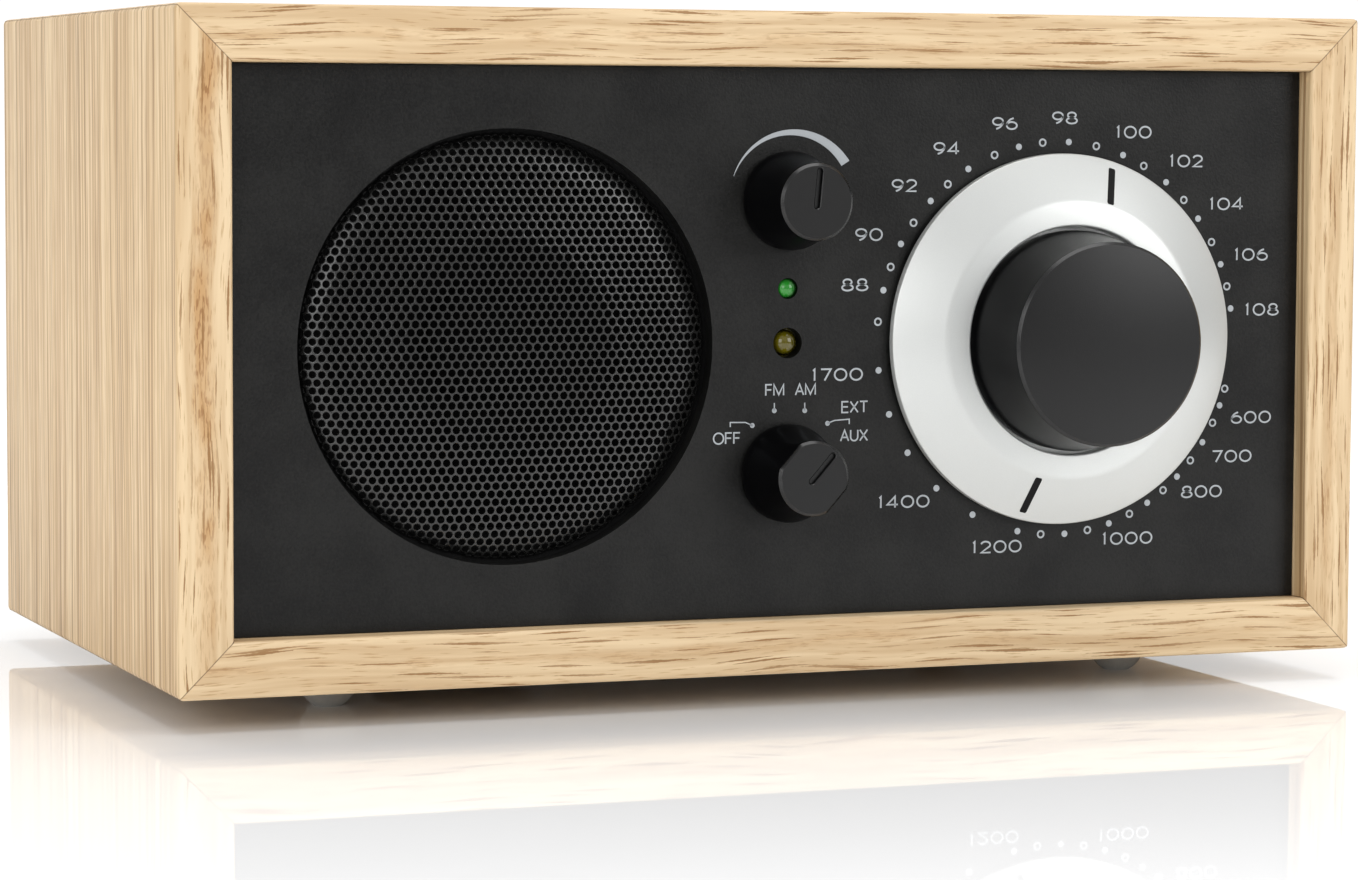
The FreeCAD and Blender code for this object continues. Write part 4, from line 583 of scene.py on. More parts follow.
def board(node, long_axis, inward, seed, figure):
    """One mitred oak board in place of its CAD node."""
    low, high = box_mm(node)
    axis = "xyz".index(long_axis)
    low[axis] = CABINET_LOW[axis]
    high[axis] = CABINET_HIGH[axis]
    spans = high - low
    length = spans[axis]
    thickness = min(spans)
    section = board_section(spans.y, thickness)
    points = []
    seams = []
    for end in (-1, 1):
        lines = [board_stations(length, thickness, through) for _, through in section]
        order = range(len(lines[0]))
        for station in (reversed(order) if end < 0 else order):
            for (across, _), line in zip(section, lines):
                along, level, seam = line[station]
                sunk = SEAM_DEPTH * seam
                squeeze = 1 - 2 * sunk / spans.y
                level = level + sunk * (1 - 2 * level / thickness)
                points.append((end * along, across * squeeze, level))
                seams.append(seam)
    faces = ring_faces(len(section), len(points) // len(section))
    mesh = mesh_mm(node + "_oak", points, faces)
    mark = mesh.attributes.new("seam", "FLOAT", "POINT")
    mark.data.foreach_set("value", seams)
    clean(mesh)
    mesh.materials.append(oak(node + "_grain", seed, figure))
    smoothed(mesh, 50)
    made = placed(node + "_oak", mesh)
    along_vector = Vector((1, 0, 0)) if long_axis == "x" else Vector((0, 0, 1))
    centre = (low + high) / 2
    outer = centre - Vector(inward) * (thickness / 2)
    turn = Matrix((along_vector, Vector((0, 1, 0)), Vector(inward))).transposed().to_4x4()
    made.matrix_world = Matrix.Translation(outer * MM) @ turn
    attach(made, "cabinet")
    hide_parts(node)
    return made


def cabinet():
    """Four mitred boards, the bottom one bored for the bass port."""
    board("cabinet_left", "z", (1, 0, 0), 1, 0.95)
    board("cabinet_right", "z", (-1, 0, 0), 2, 0.35)
    board("cabinet_top", "x", (0, 0, -1), 3, 0.35)
    bottom = board("cabinet_bottom", "x", (0, 0, 1), 4, 0.3)
    low, high = box_mm("bass_port_tube")
    centre = (low + high) / 2
    radius = (high.x - low.x) / 2
    circle = arc(centre.x, centre.y, radius, radius, 0, 360, PORT_SEGMENTS)[:-1]
    points = [(x, y, level) for level in (low.z - PAST, low.z + BOARD_CUT) for x, y in circle]
    cut_away(bottom, cutter(points, ring_faces(PORT_SEGMENTS, 2)))


# ---- grille

HOLE_PITCH = 1.55
HOLE_RADIUS = 0.61
HOLE_SIDES = 12
HOLE_BEVEL = 0.07
BEVEL_DEPTH = 0.09
SHEET_THICKNESS = 0.5
NET_RADIUS = 34.9
NET_SHARP = 50
SEARCH_STEP = 0.02
HOLE_MARGIN = 0.2
GRILLE_RIM = 35.5
FLANGE_Y = PANEL_Y + 3.05
FLANGE_WALL = 0.9


def grille_profile():
    """The grille's outer skin as (radius, y): a shallow dome with a rounded shoulder."""
    crown = PANEL_Y - 1.2
    return softened([(0, crown, 0), (18, crown + 0.28, 60), (31.6, PANEL_Y + 0.2, 9),
                     (35.0, PANEL_Y + 2.2, 1.6), (GRILLE_RIM, PANEL_Y + 5.2, 0)], steps=8)


def skin_lookup(profile):
    """A function from distance along the skin to its (radius, y) and its slope's normal."""
    reach = [0.0]
    for first, second in zip(profile, profile[1:]):
        reach.append(reach[-1] + (second - first).length)

    def at(distance):
        for index in range(len(profile) - 1):
            if distance <= reach[index + 1] or index == len(profile) - 2:
                break
        first, second = profile[index], profile[index + 1]
        share = (distance - reach[index]) / (reach[index + 1] - reach[index])
        spot = first.lerp(second, min(share, 1.0))
        along = (second - first).normalized()
        return spot, Vector((-along.y, along.x))
    return at, reach[-1]


def grille():
    """A perforated dome: a hexagonal net of round holes laid over the turned skin."""
    profile = grille_profile()
    at, total = skin_lookup(profile)
    while at(total)[0].x > NET_RADIUS:
        total -= SEARCH_STEP
    points = []
    faces = []

    def spot(u, v, depth=0.0):
        """Lay the flat point (u, v) on the skin, depth millimetres under it."""
        away = math.hypot(u, v)
        where, outward = at(min(away, total))
        if away < 1e-6:
            return (SPEAKER.x, where.y + depth, SPEAKER.z)
        radius = where.x - outward.x * depth
        return (SPEAKER.x + radius * u / away, where.y + abs(outward.y) * depth,
                SPEAKER.z + radius * v / away)

    row_height = HOLE_PITCH * math.sqrt(3) / 2
    rows = int(total / row_height) + 1
    columns = int(total / HOLE_PITCH) + 1
    corner_reach = HOLE_PITCH / math.sqrt(3)
    for row in range(-rows, rows + 1):
        for column in range(-columns, columns + 1):
            u0 = (column + 0.5 * (row % 2)) * HOLE_PITCH
            v0 = row * row_height
            if math.hypot(u0, v0) > total + HOLE_MARGIN:
                continue
            first = len(points)
            for step in range(HOLE_SIDES):
                angle = TAU * step / HOLE_SIDES + math.pi / 2
                edge = corner_reach if step % 2 == 0 else corner_reach * math.cos(math.pi / 6)
                points.append(spot(u0 + edge * math.cos(angle), v0 + edge * math.sin(angle)))
            for reach, depth in ((HOLE_RADIUS + HOLE_BEVEL, 0.0), (HOLE_RADIUS, BEVEL_DEPTH),
                                 (HOLE_RADIUS, SHEET_THICKNESS)):
                for step in range(HOLE_SIDES):
                    angle = TAU * step / HOLE_SIDES + math.pi / 2
                    points.append(spot(u0 + reach * math.cos(angle),
                                       v0 + reach * math.sin(angle), depth))
            for ring in range(3):
                for step in range(HOLE_SIDES):
                    following = (step + 1) % HOLE_SIDES
                    faces.append((first + ring * HOLE_SIDES + step,
                                  first + (ring + 1) * HOLE_SIDES + step,
                                  first + (ring + 1) * HOLE_SIDES + following,
                                  first + ring * HOLE_SIDES + following))
    web = grained("grille_web", colour(23, 23, 22), 0.2, 0.3, 0.28, bump=0.008, specular=0.75)
    net = piece("grille_net", points, faces, "cabinet", "black_metal", ("speaker_grille",),
                web, NET_SHARP, tidy=False)
    # Painted shade: the hole walls get the near-black paper finish, which deepens the holes.
    net.data.materials.append(MATERIALS["paper"])
    for face in net.data.polygons:
        shaded_hole_wall = face.index % (3 * HOLE_SIDES) >= 2 * HOLE_SIDES
        face.material_index = 1 if shaded_hole_wall else 0
    clean(net.data, outwards=False)
    smoothed(net.data, NET_SHARP)
    low, high = box_mm("speaker_grille")
    flange = (high.x - low.x) / 2
    edge = at(total)[0]
    ring = [edge] + [bend for bend in profile if bend.x > edge.x and bend.y < FLANGE_Y - 0.05]
    inside = GRILLE_RIM - FLANGE_WALL
    ring += [(GRILLE_RIM, FLANGE_Y), (flange, FLANGE_Y), (flange, high.y), (inside, high.y),
             (inside, edge.y + FLANGE_WALL), (edge.x - 0.3, edge.y + 0.35), edge]
    # Painted shade: the flange and the shoulder lip beyond the net are near-black, for the shadowed gap between
    # panel and grille.
    flange_painted_shade = grained("grille_flange_painted_shade", colour(5, 5, 5), 0.2, 0.3, 0.6, specular=0.2)
    turned("grille_flange_painted_shade", ring, SPEAKER, "cabinet", slot="black_metal", material=flange_painted_shade)


# ---- dial and knobs

BORE_RADIUS = 5.2
LIP_RADIUS = 19.6
FACE_START = 20.5
CREASE_RADIUS = 23.7
MARK_LENGTH = 6.4
MARK_HALF = 0.66
MARK_ROUND = 0.15
MARK_RADIUS = 27.5
MARK_ANGLES = (73.5, -104.5)
MARK_STEPS = 24
MARK_LIFT = 0.025


def dial():
    """The dished silver ring with its two filled pointer marks."""
    low, high = box_mm("tuning_dial")
    rim_radius = (high.x - low.x) / 2
    lip = low.y
    face = lip + 0.6
    rim = PANEL_Y - 2.2
    edge = PANEL_Y - 0.7
    web = PANEL_Y - 4.2
    web_back = web + 1.5
    skin = [(BORE_RADIUS, web, 0), (LIP_RADIUS, web, 0), (LIP_RADIUS, lip, 0.35),
            (CREASE_RADIUS, face, 4.0), (rim_radius, rim, 0.35), (rim_radius, edge, 0.2),
            (rim_radius - 1.6, edge, 0), (LIP_RADIUS + 2, web_back, 0),
            (BORE_RADIUS, web_back, 0), (BORE_RADIUS, web, 0)]
    outline = softened(skin)
    turned("dial_ring", outline, DIAL, "dial", segments=256, slot="dial_silver",
           stands_for=("tuning_dial",), sharp=28)

    def slope(radius):
        """The dial's face at a radius."""
        for first, second in zip(outline, outline[1:]):
            if FACE_START < first.x <= radius <= second.x:
                return first.y + (second.y - first.y) * (radius - first.x) / (second.x - first.x)
        return rim

    points = []
    faces = []
    half = MARK_LENGTH / 2
    for degrees in MARK_ANGLES:
        along = Vector((math.cos(math.radians(degrees)), math.sin(math.radians(degrees))))
        across = Vector((-along.y, along.x))
        rows = []
        for step in range(MARK_STEPS + 1):
            reach = (-1 + 2 * step / MARK_STEPS) * half
            past_end = max(0.0, abs(reach) - (half - MARK_ROUND)) / MARK_ROUND
            width = MARK_HALF - MARK_ROUND * (1 - math.sqrt(max(0.0, 1 - past_end ** 2)))
            rows.append((MARK_RADIUS + reach, width))
        first = len(points)
        for radius, width in rows:
            for side in (-1, 1):
                flat = along * radius + across * side * width
                points.append((DIAL.x + flat.x, slope(flat.length) - MARK_LIFT, DIAL.z + flat.y))
        for step in range(len(rows) - 1):
            corner = first + step * 2
            faces.append((corner, corner + 1, corner + 3, corner + 2))
    filler = grained("mark_filler", colour(7, 7, 8), 0.2, 0.2, 0.5, bump=0.004, specular=0.2)
    piece("dial_marks", points, faces, "dial", material=filler)


FACE_RADIUS = 16.8
FACE_CROWN = 1.2
SIDE_RADIUS = 17.3
SIDE_FLARE = 1.6
SIDE_START = 1.6
SIDE_RUN = 12.6
KNOB_REAR = PANEL_Y - 4.8


def tuning_knob():
    """The deep knob, with a slightly flared side and a crisp front edge."""
    face = box_mm("tuning_knob")[0].y
    profile = [(FACE_RADIUS * share, face + FACE_CROWN * share ** 2, 0)
               for share in (0, 0.25, 0.5, 0.75)]
    profile += [(FACE_RADIUS, face + FACE_CROWN, 0.1),
                (SIDE_RADIUS, face + FACE_CROWN + 0.5, 0.1)]
    profile += [(SIDE_RADIUS + SIDE_FLARE * share ** 1.5, face + SIDE_START + SIDE_RUN * share, 0)
                for share in (0.1, 0.25, 0.4, 0.55, 0.7, 0.85, 1.0)]
    profile += [(SIDE_RADIUS + SIDE_FLARE, KNOB_REAR, 0.3), (FACE_RADIUS + 0.1, KNOB_REAR, 0),
                (0, KNOB_REAR, 0)]
    turned("tuning_knob_cap", softened(profile), DIAL, "tuning", segments=256,
           slot="knob_grey", stands_for=("tuning_knob",), sharp=30)


def knob_section(radius, half_width, arc_steps=40, flat_steps=6):
    """A circle cut by two flats, as (across, along) points, always the same count."""
    half_width = min(half_width, radius)
    reach = math.sqrt(max(0.0, radius ** 2 - half_width ** 2))
    start = math.atan2(reach, half_width)
    section = []
    for side in (1, -1):
        for step in range(flat_steps):
            section.append((side * half_width, side * reach * (-1 + 2 * step / flat_steps)))
        for step in range(arc_steps):
            angle = start + (math.pi - 2 * start) * step / arc_steps
            section.append((side * radius * math.cos(angle), side * radius * math.sin(angle)))
    return section


KNOB_BASE = 8.3
KNOB_SKIRT = 1.2
KNOB_BEVEL = 0.5
FLAT_REACH = 5.5
FLAT_BEVEL = 0.3
FLARE_STEPS = 8
FLARE_POWER = 1.35
CUT_START = 0.3
GROOVE_HALF = 0.5
GROOVE_LIP = 0.14
GROOVE_DEPTH = 0.7
GROOVE_TO_RIM = 1.35
GROOVE_START = -0.6


def control_knob(name, node, place, body, front, turn, flats):
    """A small flared knob with its pointer groove."""
    low, high = box_mm(node)
    face = low.y
    back = high.y
    tall = back - face - KNOB_SKIRT
    rows = [(front - KNOB_BEVEL, face, 0), (front, face + KNOB_BEVEL, 0.35)]
    for step in range(1, FLARE_STEPS + 1):
        share = step / FLARE_STEPS
        rows.append((front + (KNOB_BASE - front) * share ** FLARE_POWER,
                     face + KNOB_BEVEL + (tall - KNOB_BEVEL) * share, 0))
    rows += [(KNOB_BASE, back, 0)]
    profile = softened([(0, face, 0)] + rows)[1:]
    turned_by = math.radians(turn)

    def laid(across, along, y):
        """A point of the knob's section, turned to where the pointer stands."""
        return (place.x + across * math.cos(turned_by) + along * math.sin(turned_by), y,
                place.z + along * math.cos(turned_by) - across * math.sin(turned_by))

    points = []
    for radius, y in profile:
        reach = KNOB_BASE + 1
        if flats:
            share = (y - face + KNOB_BEVEL) / (tall + KNOB_BEVEL)
            reach = FLAT_REACH + (KNOB_BASE - FLAT_REACH) * share
            if y < face + FLAT_BEVEL:
                reach -= FLAT_BEVEL
        points += [laid(across, along, y) for across, along in knob_section(radius, reach)]
    faces = ring_faces(len(points) // len(profile), len(profile))
    knob = piece(name, points, faces, body, "knob_grey", (node,), sharp=30)
    groove = []
    for y, wider in ((face - CUT_START, CUT_START + GROOVE_LIP), (face + GROOVE_LIP, 0.0),
                     (face + GROOVE_DEPTH, 0.0)):
        half = GROOVE_HALF + wider
        outline = arc(0, front - GROOVE_TO_RIM, half, half, 0, 180, 12)
        outline += arc(0, GROOVE_START, half, half, 180, 360, 12)
        groove += [laid(across, along, y) for across, along in outline]
    cut_away(knob, cutter(groove, ring_faces(len(groove) // 3, 3)))


COLLAR_STEP = 0.6
COLLAR_Y = PANEL_Y + 3.0


def lamps():
    """Two round-nosed lamps in dark clearance holes."""
    for name, node, slot in (("green_lamp_lens", "green_lamp", "green_lens"),
                             ("amber_lamp_lens", "amber_lamp", "amber_lens")):
        low, high = box_mm(node)
        collar = (high.x - low.x) / 2
        radius = collar - COLLAR_STEP
        nose = low.y
        profile = [(radius * math.sin(math.radians(angle)),
                    nose + radius * (1 - math.cos(math.radians(angle))))
                   for angle in range(0, 91, 6)]
        profile += [(radius, COLLAR_Y), (collar, COLLAR_Y), (collar, COLLAR_Y + 1.0),
                    (0, COLLAR_Y + 1.0)]
        centre = (low + high) / 2
        turned(name, profile, centre, "cabinet", segments=64, slot=slot, stands_for=(node,))


SCREW_HEAD = 2.8
SCREW_SHANK = 1.5
CROSS_ARM = 1.55
CROSS_HALF = 0.34
CROSS_DEPTH = 1.2
SCREW_SEGMENTS = 48


def rear_screws():
    """Pan-head screws with a cross recess, one in each corner of the back."""
    low, high = box_mm("rear_panel_screws")
    seat = box_mm("rear_panel")[1].y
    profile = softened([(0, high.y, 0), (SCREW_HEAD, high.y, 1.1), (SCREW_HEAD, seat, 0),
                        (SCREW_SHANK, seat, 0), (SCREW_SHANK, low.y + SCREW_SHANK, 0),
                        (0, low.y, 0)])
    quarter = [(CROSS_HALF, CROSS_HALF), (CROSS_HALF, CROSS_ARM), (-CROSS_HALF, CROSS_ARM)]
    outline = []
    for turns in range(4):
        for across, along in quarter:
            for _ in range(turns):
                across, along = -along, across
            outline.append((across, along))
    points = []
    faces = []
    recess = []
    recess_faces = []
    for x in (low.x + SCREW_HEAD, high.x - SCREW_HEAD):
        for z in (low.z + SCREW_HEAD, high.z - SCREW_HEAD):
            faces += ring_faces(SCREW_SEGMENTS, len(profile), len(points), capped=False)
            points += turned_mesh(profile, Vector((x, 0, z)), SCREW_SEGMENTS)[0]
            recess_faces += ring_faces(len(outline), 2, len(recess))
            for y, scale in ((high.y + CUT_START, 1.1), (high.y - CROSS_DEPTH, 0.5)):
                recess += [(x + across * scale, y, z + along * scale) for across, along in outline]
    screws = piece("rear_panel_screw_set", points, faces, "cabinet", "black_metal",
                   ("rear_panel_screws",))
    cut_away(screws, cutter(recess, recess_faces))


# ---- print

def upside_down(strokes, width):
    """A glyph turned by half a turn in its own cell."""
    return [[(width - x, 1 - y) for x, y in stroke] for stroke in strokes]


ROUND = arc(0.57, 0.5, 0.57, 0.5, 0, 360, 28)
SIX = [arc(0.5, 0.32, 0.5, 0.32, 0, 360, 28), arc(0.9, 0.32, 0.9, 0.68, 180, 105, 12)]
GLYPHS = {
    "0": (1.14, [ROUND]),
    "1": (0.4, [[(0, 0.87), (0.15, 1), (0.15, 0)]]),
    "2": (0.96, [arc(0.47, 0.7, 0.45, 0.3, 165, -30, 16) + [(0.03, 0), (0.96, 0)]]),
    "4": (1.04, [[(0.76, 0), (0.76, 1), (0, 0.27), (1.04, 0.27)]]),
    "6": (1, SIX),
    "7": (0.94, [[(0, 1), (0.94, 1), (0.34, 0)]]),
    "8": (1.04, [arc(0.52, 0.75, 0.4, 0.25, 0, 360, 24), arc(0.52, 0.26, 0.52, 0.26, 0, 360, 24)]),
    "9": (1, upside_down(SIX, 1)),
    "A": (0.8, [[(0, 0), (0.4, 1), (0.8, 0)], [(0.14, 0.33), (0.66, 0.33)]]),
    "E": (0.64, [[(0.64, 0), (0, 0), (0, 1), (0.64, 1)], [(0, 0.52), (0.6, 0.52)]]),
    "F": (0.6, [[(0, 0), (0, 1), (0.6, 1)], [(0, 0.52), (0.54, 0.52)]]),
    "M": (0.96, [[(0, 0), (0, 1), (0.48, 0.06), (0.96, 1), (0.96, 0)]]),
    "O": (0.98, [arc(0.49, 0.5, 0.49, 0.5, 0, 360, 28)]),
    "T": (0.76, [[(0, 1), (0.76, 1)], [(0.38, 1), (0.38, 0)]]),
    "U": (0.72, [[(0, 1)] + arc(0.36, 0.36, 0.36, 0.36, 180, 360, 14) + [(0.72, 1)]]),
    "X": (0.76, [[(0, 0), (0.76, 1)], [(0, 1), (0.76, 0)]]),
}


class Print:
    """Flat ink on the panel: strokes, dots and rings collected into one piece."""

    def __init__(self):
        self.points = []
        self.faces = []

    def add(self, outline_rows):
        """A strip between pairs of (x, z) points, from PANEL_X and the cabinet's bottom."""
        first = len(self.points)
        for left, right in outline_rows:
            for x, z in (left, right):
                self.points.append((PANEL_X + x, INK_Y, CABINET_BOTTOM + z))
        for row in range(len(outline_rows) - 1):
            corner = first + 2 * row
            self.faces.append((corner, corner + 1, corner + 3, corner + 2))

    def stroke(self, path, width):
        """A line of even width along a path, mitred at its corners."""
        closed = math.dist(path[0], path[-1]) < 1e-6
        spots = [Vector(point) for point in path]
        runs = [(second - first).normalized() for first, second in zip(spots, spots[1:])]
        rows = []
        for index, here in enumerate(spots):
            near = runs[max(index - 1, 0):index + 1]
            if closed and index in (0, len(runs)):
                near = [runs[-1], runs[0]]
            sides = [Vector((-run.y, run.x)) for run in near]
            side = sum(sides, Vector((0, 0))).normalized()
            grow = 1 / max(side.dot(sides[0]), 0.45)
            offset = side * (width / 2 * grow)
            rows.append((here + offset, here - offset))
        self.add(rows)

    def text(self, words, x, z, height, width, gap):
        """Words centred on (x, z), drawn with strokes of a given width."""
        full = sum(GLYPHS[letter][0] for letter in words) + gap * (len(words) - 1)
        body = height - width
        cursor = x - full * body / 2
        for letter in words:
            wide, strokes = GLYPHS[letter]
            for stroke in strokes:
                path = [(cursor + px * body, z - body / 2 + py * body) for px, py in stroke]
                self.stroke(path, width)
            cursor += (wide + gap) * body

    def disc(self, x, z, radius, hole=0.0, steps=24):
        """A dot, or a ring when it has a hole."""
        rows = []
        for step in range(steps + 1):
            angle = TAU * step / steps
            spoke = Vector((math.cos(angle), math.sin(angle)))
            rows.append((Vector((x, z)) + spoke * radius, Vector((x, z)) + spoke * hole))
        self.add(rows)

    def made(self, name):
        """The finished print: a thin layer whose back touches the panel."""
        ink = piece(name, self.points, self.faces, "cabinet", material=INK)
        ink.data.shade_flat()
        layer = ink.modifiers.new("layer", "SOLIDIFY")
        layer.thickness = 2 * (PANEL_Y - INK_Y) * MM
        layer.offset = 0.0


INK = grained("printed_ink", colour(172, 177, 181), 0.06, 0.12, 0.5, bump=0.004)
DOT_CIRCLE = 34.0
DOT_RADIUS = 0.56
OPEN_DOT_RADIUS = 0.72
OPEN_DOT_HOLE = 0.42
NUMBER_HEIGHT = 2.2
NUMBER_STROKE = 0.29
NUMBER_GAP = 0.37
NUMBERS = {
    "88": (12.25, 65.4), "90": (14.8, 73.9), "92": (21.3, 82.2), "94": (29.1, 88.5),
    "96": (40.0, 92.8), "98": (51.4, 93.8), "100": (64.7, 91.4), "102": (75.0, 86.4),
    "104": (83.0, 78.9), "106": (88.0, 70.0), "108": (90.3, 60.3),
    "600": (88.4, 41.3), "700": (84.7, 34.5), "800": (78.8, 28.4), "1000": (64.4, 20.6),
    "1200": (39.3, 19.9), "1400": (21.7, 28.2), "1700": (9.2, 50.2)}
LOWER_DOTS = dict(zip((*range(1700, 1200, -100), *range(1200, 500, -50)), (
    -171.7, -158.5, -145.8, -131.8, -117.7, -102.3, -94.7, -87.0, -79.5, -72.3, -65.1, -58.5,
    -52.2, -46.2, -39.8, -33.2, -26.6, -21.0, -15.8)))
UPPER_DOTS = dict(zip(range(87, 109), (
    174.3, 165.1, 158.1, 150.8, 143.6, 135.4, 128.2, 120.4, 111.2, 103.1, 95.4, 87.0, 78.0, 68.9,
    61.4, 52.6, 44.7, 37.4, 29.1, 21.8, 14.9, 8.2)))


def dial_print():
    """Two scales round the dial: numbers, whole dots for round values and rings between."""
    ink = Print()
    for dots, filled in ((UPPER_DOTS, 2), (LOWER_DOTS, 100)):
        for number, degrees in dots.items():
            x = DIAL.x - PANEL_X + DOT_CIRCLE * math.cos(math.radians(degrees))
            z = DIAL.z - CABINET_BOTTOM + DOT_CIRCLE * math.sin(math.radians(degrees))
            whole = number % filled == 0
            ink.disc(x, z, *((DOT_RADIUS,) if whole else (OPEN_DOT_RADIUS, OPEN_DOT_HOLE)))
    for words, (x, z) in NUMBERS.items():
        ink.text(words, x, z, NUMBER_HEIGHT, NUMBER_STROKE, NUMBER_GAP)
    ink.made("dial_scale_print")


WEDGE_RADIUS = 11.0
WEDGE_FIRST = 158
WEDGE_LAST = 32
WEDGE_THIN = 0.08
WEDGE_THICK = 1.7


def volume_print():
    """The rising wedge over the volume knob."""
    ink = Print()
    centre = Vector((VOLUME.x - PANEL_X + 0.3, VOLUME.z - CABINET_BOTTOM))
    rows = []
    steps = 60
    for step in range(steps + 1):
        share = step / steps
        angle = math.radians(WEDGE_FIRST + (WEDGE_LAST - WEDGE_FIRST) * share)
        spoke = Vector((math.cos(angle), math.sin(angle)))
        outer = WEDGE_RADIUS + WEDGE_THIN + (WEDGE_THICK - WEDGE_THIN) * share
        rows.append((centre + spoke * outer, centre + spoke * WEDGE_RADIUS))
    ink.add(rows)
    ink.made("volume_wedge_print")


LEGEND_STROKE = 0.25
LEGEND_HEIGHT = 2.08
LEGEND_GAP = 0.21
LEGEND_DOT = 0.42
LEADER_STROKE = 0.2


def selector_print():
    """Dots, leaders and words round the selector."""
    ink = Print()
    for x, z in ((-6.33, 41.87), (-2.35, 44.3), (3.2, 44.2), (7.4, 41.95)):
        ink.disc(x, z, LEGEND_DOT)
    for path in ([(-2.35, 44.3), (-2.35, 45.6)], [(3.2, 44.2), (3.2, 45.55)],
                 [(-6.33, 41.87), (-7.57, 42.42), (-10.33, 42.48), (-10.32, 41.7)],
                 [(7.4, 41.95), (8.7, 42.42), (11.4, 42.58), (11.4, 41.73)]):
        ink.stroke(path, LEADER_STROKE)
    for words, x, z in (("FM", -2.3, 47.8), ("AM", 3.3, 47.8), ("OFF", -10.95, 39.8),
                        ("EXT", 12.4, 44.65), ("AUX", 12.3, 39.8)):
        ink.text(words, x, z, LEGEND_HEIGHT, LEGEND_STROKE, LEGEND_GAP)
    ink.made("selector_print")


# ---- studio

CAMERA_PLACE = (-0.2681, -0.71185, 0.0983)
CAMERA_YAW = 20.78
CAMERA_PITCH = -4.33
CAMERA_ROLL = 0.24
CAMERA_LENS = 111.2


def camera():
    """The studio camera, at the viewing angle of the product shot."""
    data = bpy.data.cameras.new("camera")
    data.sensor_width = 36
    data.lens = CAMERA_LENS
    data.clip_start = 0.01
    data.clip_end = 50
    yaw, pitch, roll = (math.radians(part) for part in (CAMERA_YAW, CAMERA_PITCH, CAMERA_ROLL))
    forward = Vector((math.sin(yaw) * math.cos(pitch), math.cos(yaw) * math.cos(pitch),
                      math.sin(pitch)))
    level = Vector((math.cos(yaw), -math.sin(yaw), 0))
    up = level.cross(forward)
    right = level * math.cos(roll) + up * math.sin(roll)
    up = right.cross(forward)
    turn = Matrix((right, up, -forward)).transposed()
    made = placed("camera", data)
    made.matrix_world = Matrix.Translation(CAMERA_PLACE) @ turn.to_4x4()
    bpy.context.scene.camera = made


def softbox(name, place, size, power):
    """A large soft light aimed at the radio."""
    data = bpy.data.lights.new(name, "AREA")
    data.shape = "RECTANGLE"
    data.size, data.size_y = size
    data.energy = power
    made = placed(name, data)
    made.location = place
    made.rotation_mode = "QUATERNION"
    made.rotation_quaternion = (Vector(LIGHT_AIM) - Vector(place)).to_track_quat("-Z", "Y")


FLOOR_RADIUS = 0.7
FLOOR_STEPS = 96
PAINTED_LIGHT_REACH = 45
POLISH_REACH = 240


def floor():
    """A pale table top whose polish fades away from the radio, with a faint glow of painted light that starts away
    from the radio and pales its shadow there.
    """
    mesh = bpy.data.meshes.new("floor")
    angles = [TAU * step / FLOOR_STEPS for step in range(FLOOR_STEPS)]
    mesh.from_pydata([(FLOOR_RADIUS * math.cos(angle), FLOOR_RADIUS * math.sin(angle), 0)
                      for angle in angles], [], [tuple(range(FLOOR_STEPS))])
    shader = Shader("floor_white", 0.02)
    haze = shader.cloud(1 / 200)
    shader.set("Base Color", shader.mix(haze, colour(254, 254, 255), colour(255, 255, 255)))
    where = shader.place()
    outside = []
    for number, axis in enumerate("XY"):
        centre = (CABINET_LOW[number] + CABINET_HIGH[number]) / 2
        reach = (CABINET_HIGH[number] - CABINET_LOW[number]) / 2
        away = shader.maths("SUBTRACT", shader.split(where, axis), centre)
        away = shader.maths("SUBTRACT", shader.maths("ABSOLUTE", away), reach)
        away = shader.maths("MAXIMUM", away, 0.0)
        outside.append(shader.maths("MULTIPLY", away, away))
    distance = shader.maths("SQRT", shader.maths("ADD", *outside))
    shader.set("Specular IOR Level", shader.step(distance, 10, POLISH_REACH, 0.6, 0.0))
    # Painted light: the floor glows more with distance from the radio, paling the shadow round it.
    shader.set("Emission Color", (1.0, 1.0, 1.0, 1.0))
    shader.set("Emission Strength", shader.step(distance, 0, PAINTED_LIGHT_REACH, 0.0, 0.07))
    mesh.materials.append(shader.material)
    placed("floor", mesh)


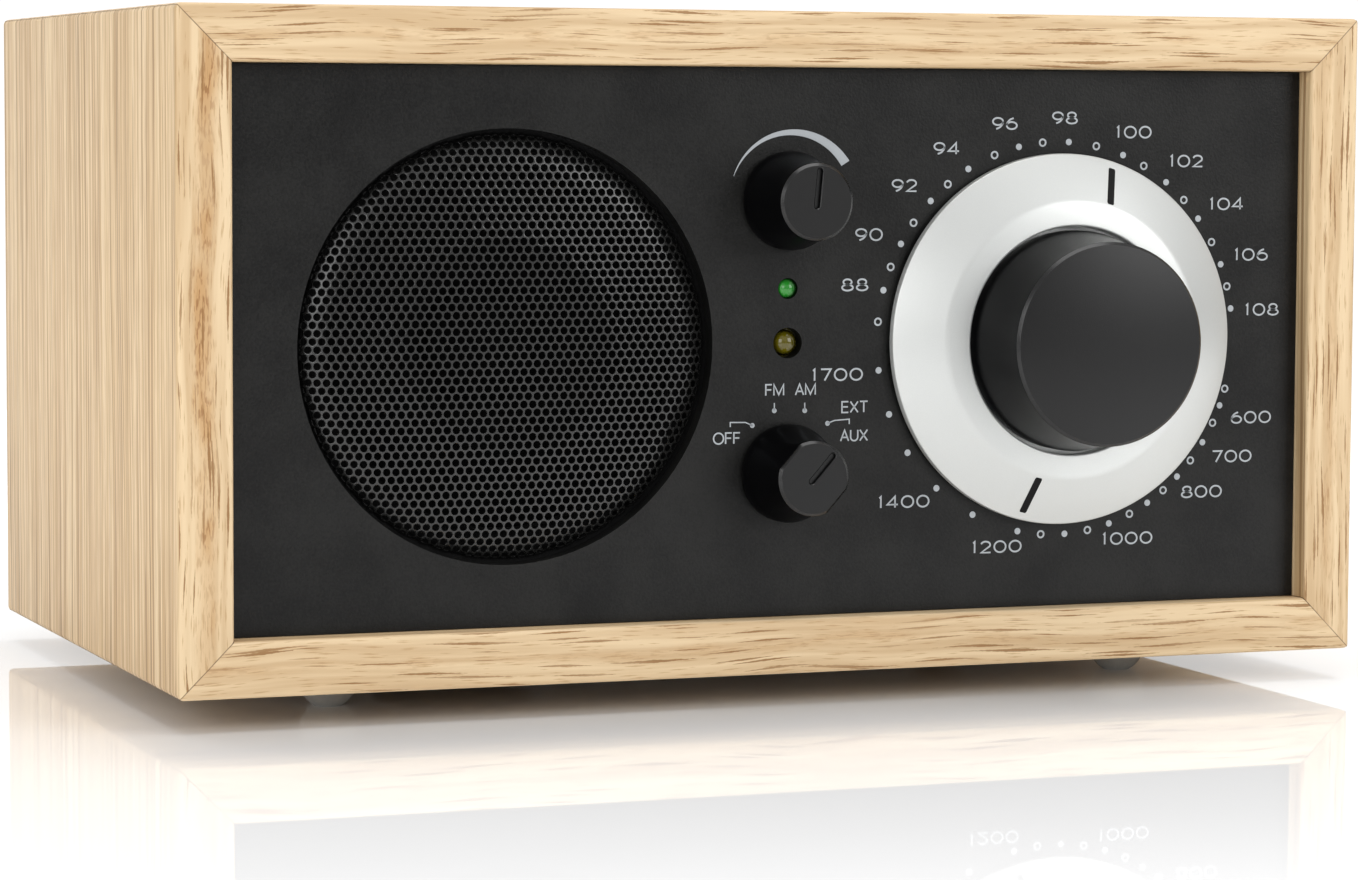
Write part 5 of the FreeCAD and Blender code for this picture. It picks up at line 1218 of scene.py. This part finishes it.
LIGHT_AIM = (0, 0, 0.06)
SOFTBOXES = {
    "right_softbox": ((1.0, -1.3, 0.65), (0.9, 0.9), 8.5),
    "left_softbox": ((-1.25, -1.2, 0.55), (0.8, 0.9), 6.8),
    "side_softbox": ((-1.5, -0.3, 0.4), (0.7, 0.9), 3.8),
    "top_softbox": ((0.1, 0.0, 1.5), (1.4, 1.1), 12.5)}
LOW_LEVEL = 0.22
HIGH_LEVEL = 0.66
SEEN_LEVEL = 1.05


def studio():
    """White surroundings, dim low down and in front of the radio, and four soft lights."""
    world = bpy.data.worlds.new("studio")
    bpy.context.scene.world = world
    world.use_nodes = True
    tree = world.node_tree
    direction = add_node(tree, "ShaderNodeTexCoord", {}, "Generated")
    ahead, height = (add_node(tree, "ShaderNodeSeparateXYZ", {0: direction}, axis)
                     for axis in (1, 2))
    rise = add_node(tree, "ShaderNodeMapRange", {
        "Value": height, "From Min": -0.1, "From Max": 0.5, "To Min": LOW_LEVEL,
        "To Max": HIGH_LEVEL}, interpolation_type="SMOOTHSTEP")
    backdrop = add_node(tree, "ShaderNodeMapRange", {
        "Value": ahead, "From Min": 0.3, "From Max": 0.8}, interpolation_type="SMOOTHSTEP")
    level = add_node(tree, "ShaderNodeMath", {0: rise, 1: backdrop}, operation="MAXIMUM")
    seen = add_node(tree, "ShaderNodeLightPath", {}, "Is Camera Ray")
    shown = add_node(tree, "ShaderNodeMath", {0: seen, 1: SEEN_LEVEL}, operation="MULTIPLY")
    strength = add_node(tree, "ShaderNodeMath", {0: level, 1: shown}, operation="MAXIMUM")
    background = tree.nodes["Background"]
    tree.links.new(strength, background.inputs["Strength"])
    background.inputs["Color"].default_value = (1, 1, 1, 1)
    for name, (place, size, power) in SOFTBOXES.items():
        softbox(name, place, size, power)
    bpy.context.scene.view_settings.view_transform = "Standard"


finish_cad_nodes()
cabinet()
grille()
dial()
tuning_knob()
control_knob("volume_knob_cap", "volume_knob", VOLUME, "volume", 6.5, 5.4, False)
control_knob("selector_knob_cap", "selector_knob", SELECTOR, "selector", 6.35, 42.0, True)
lamps()
rear_screws()
dial_print()
volume_print()
selector_print()
floor()
studio()
camera()
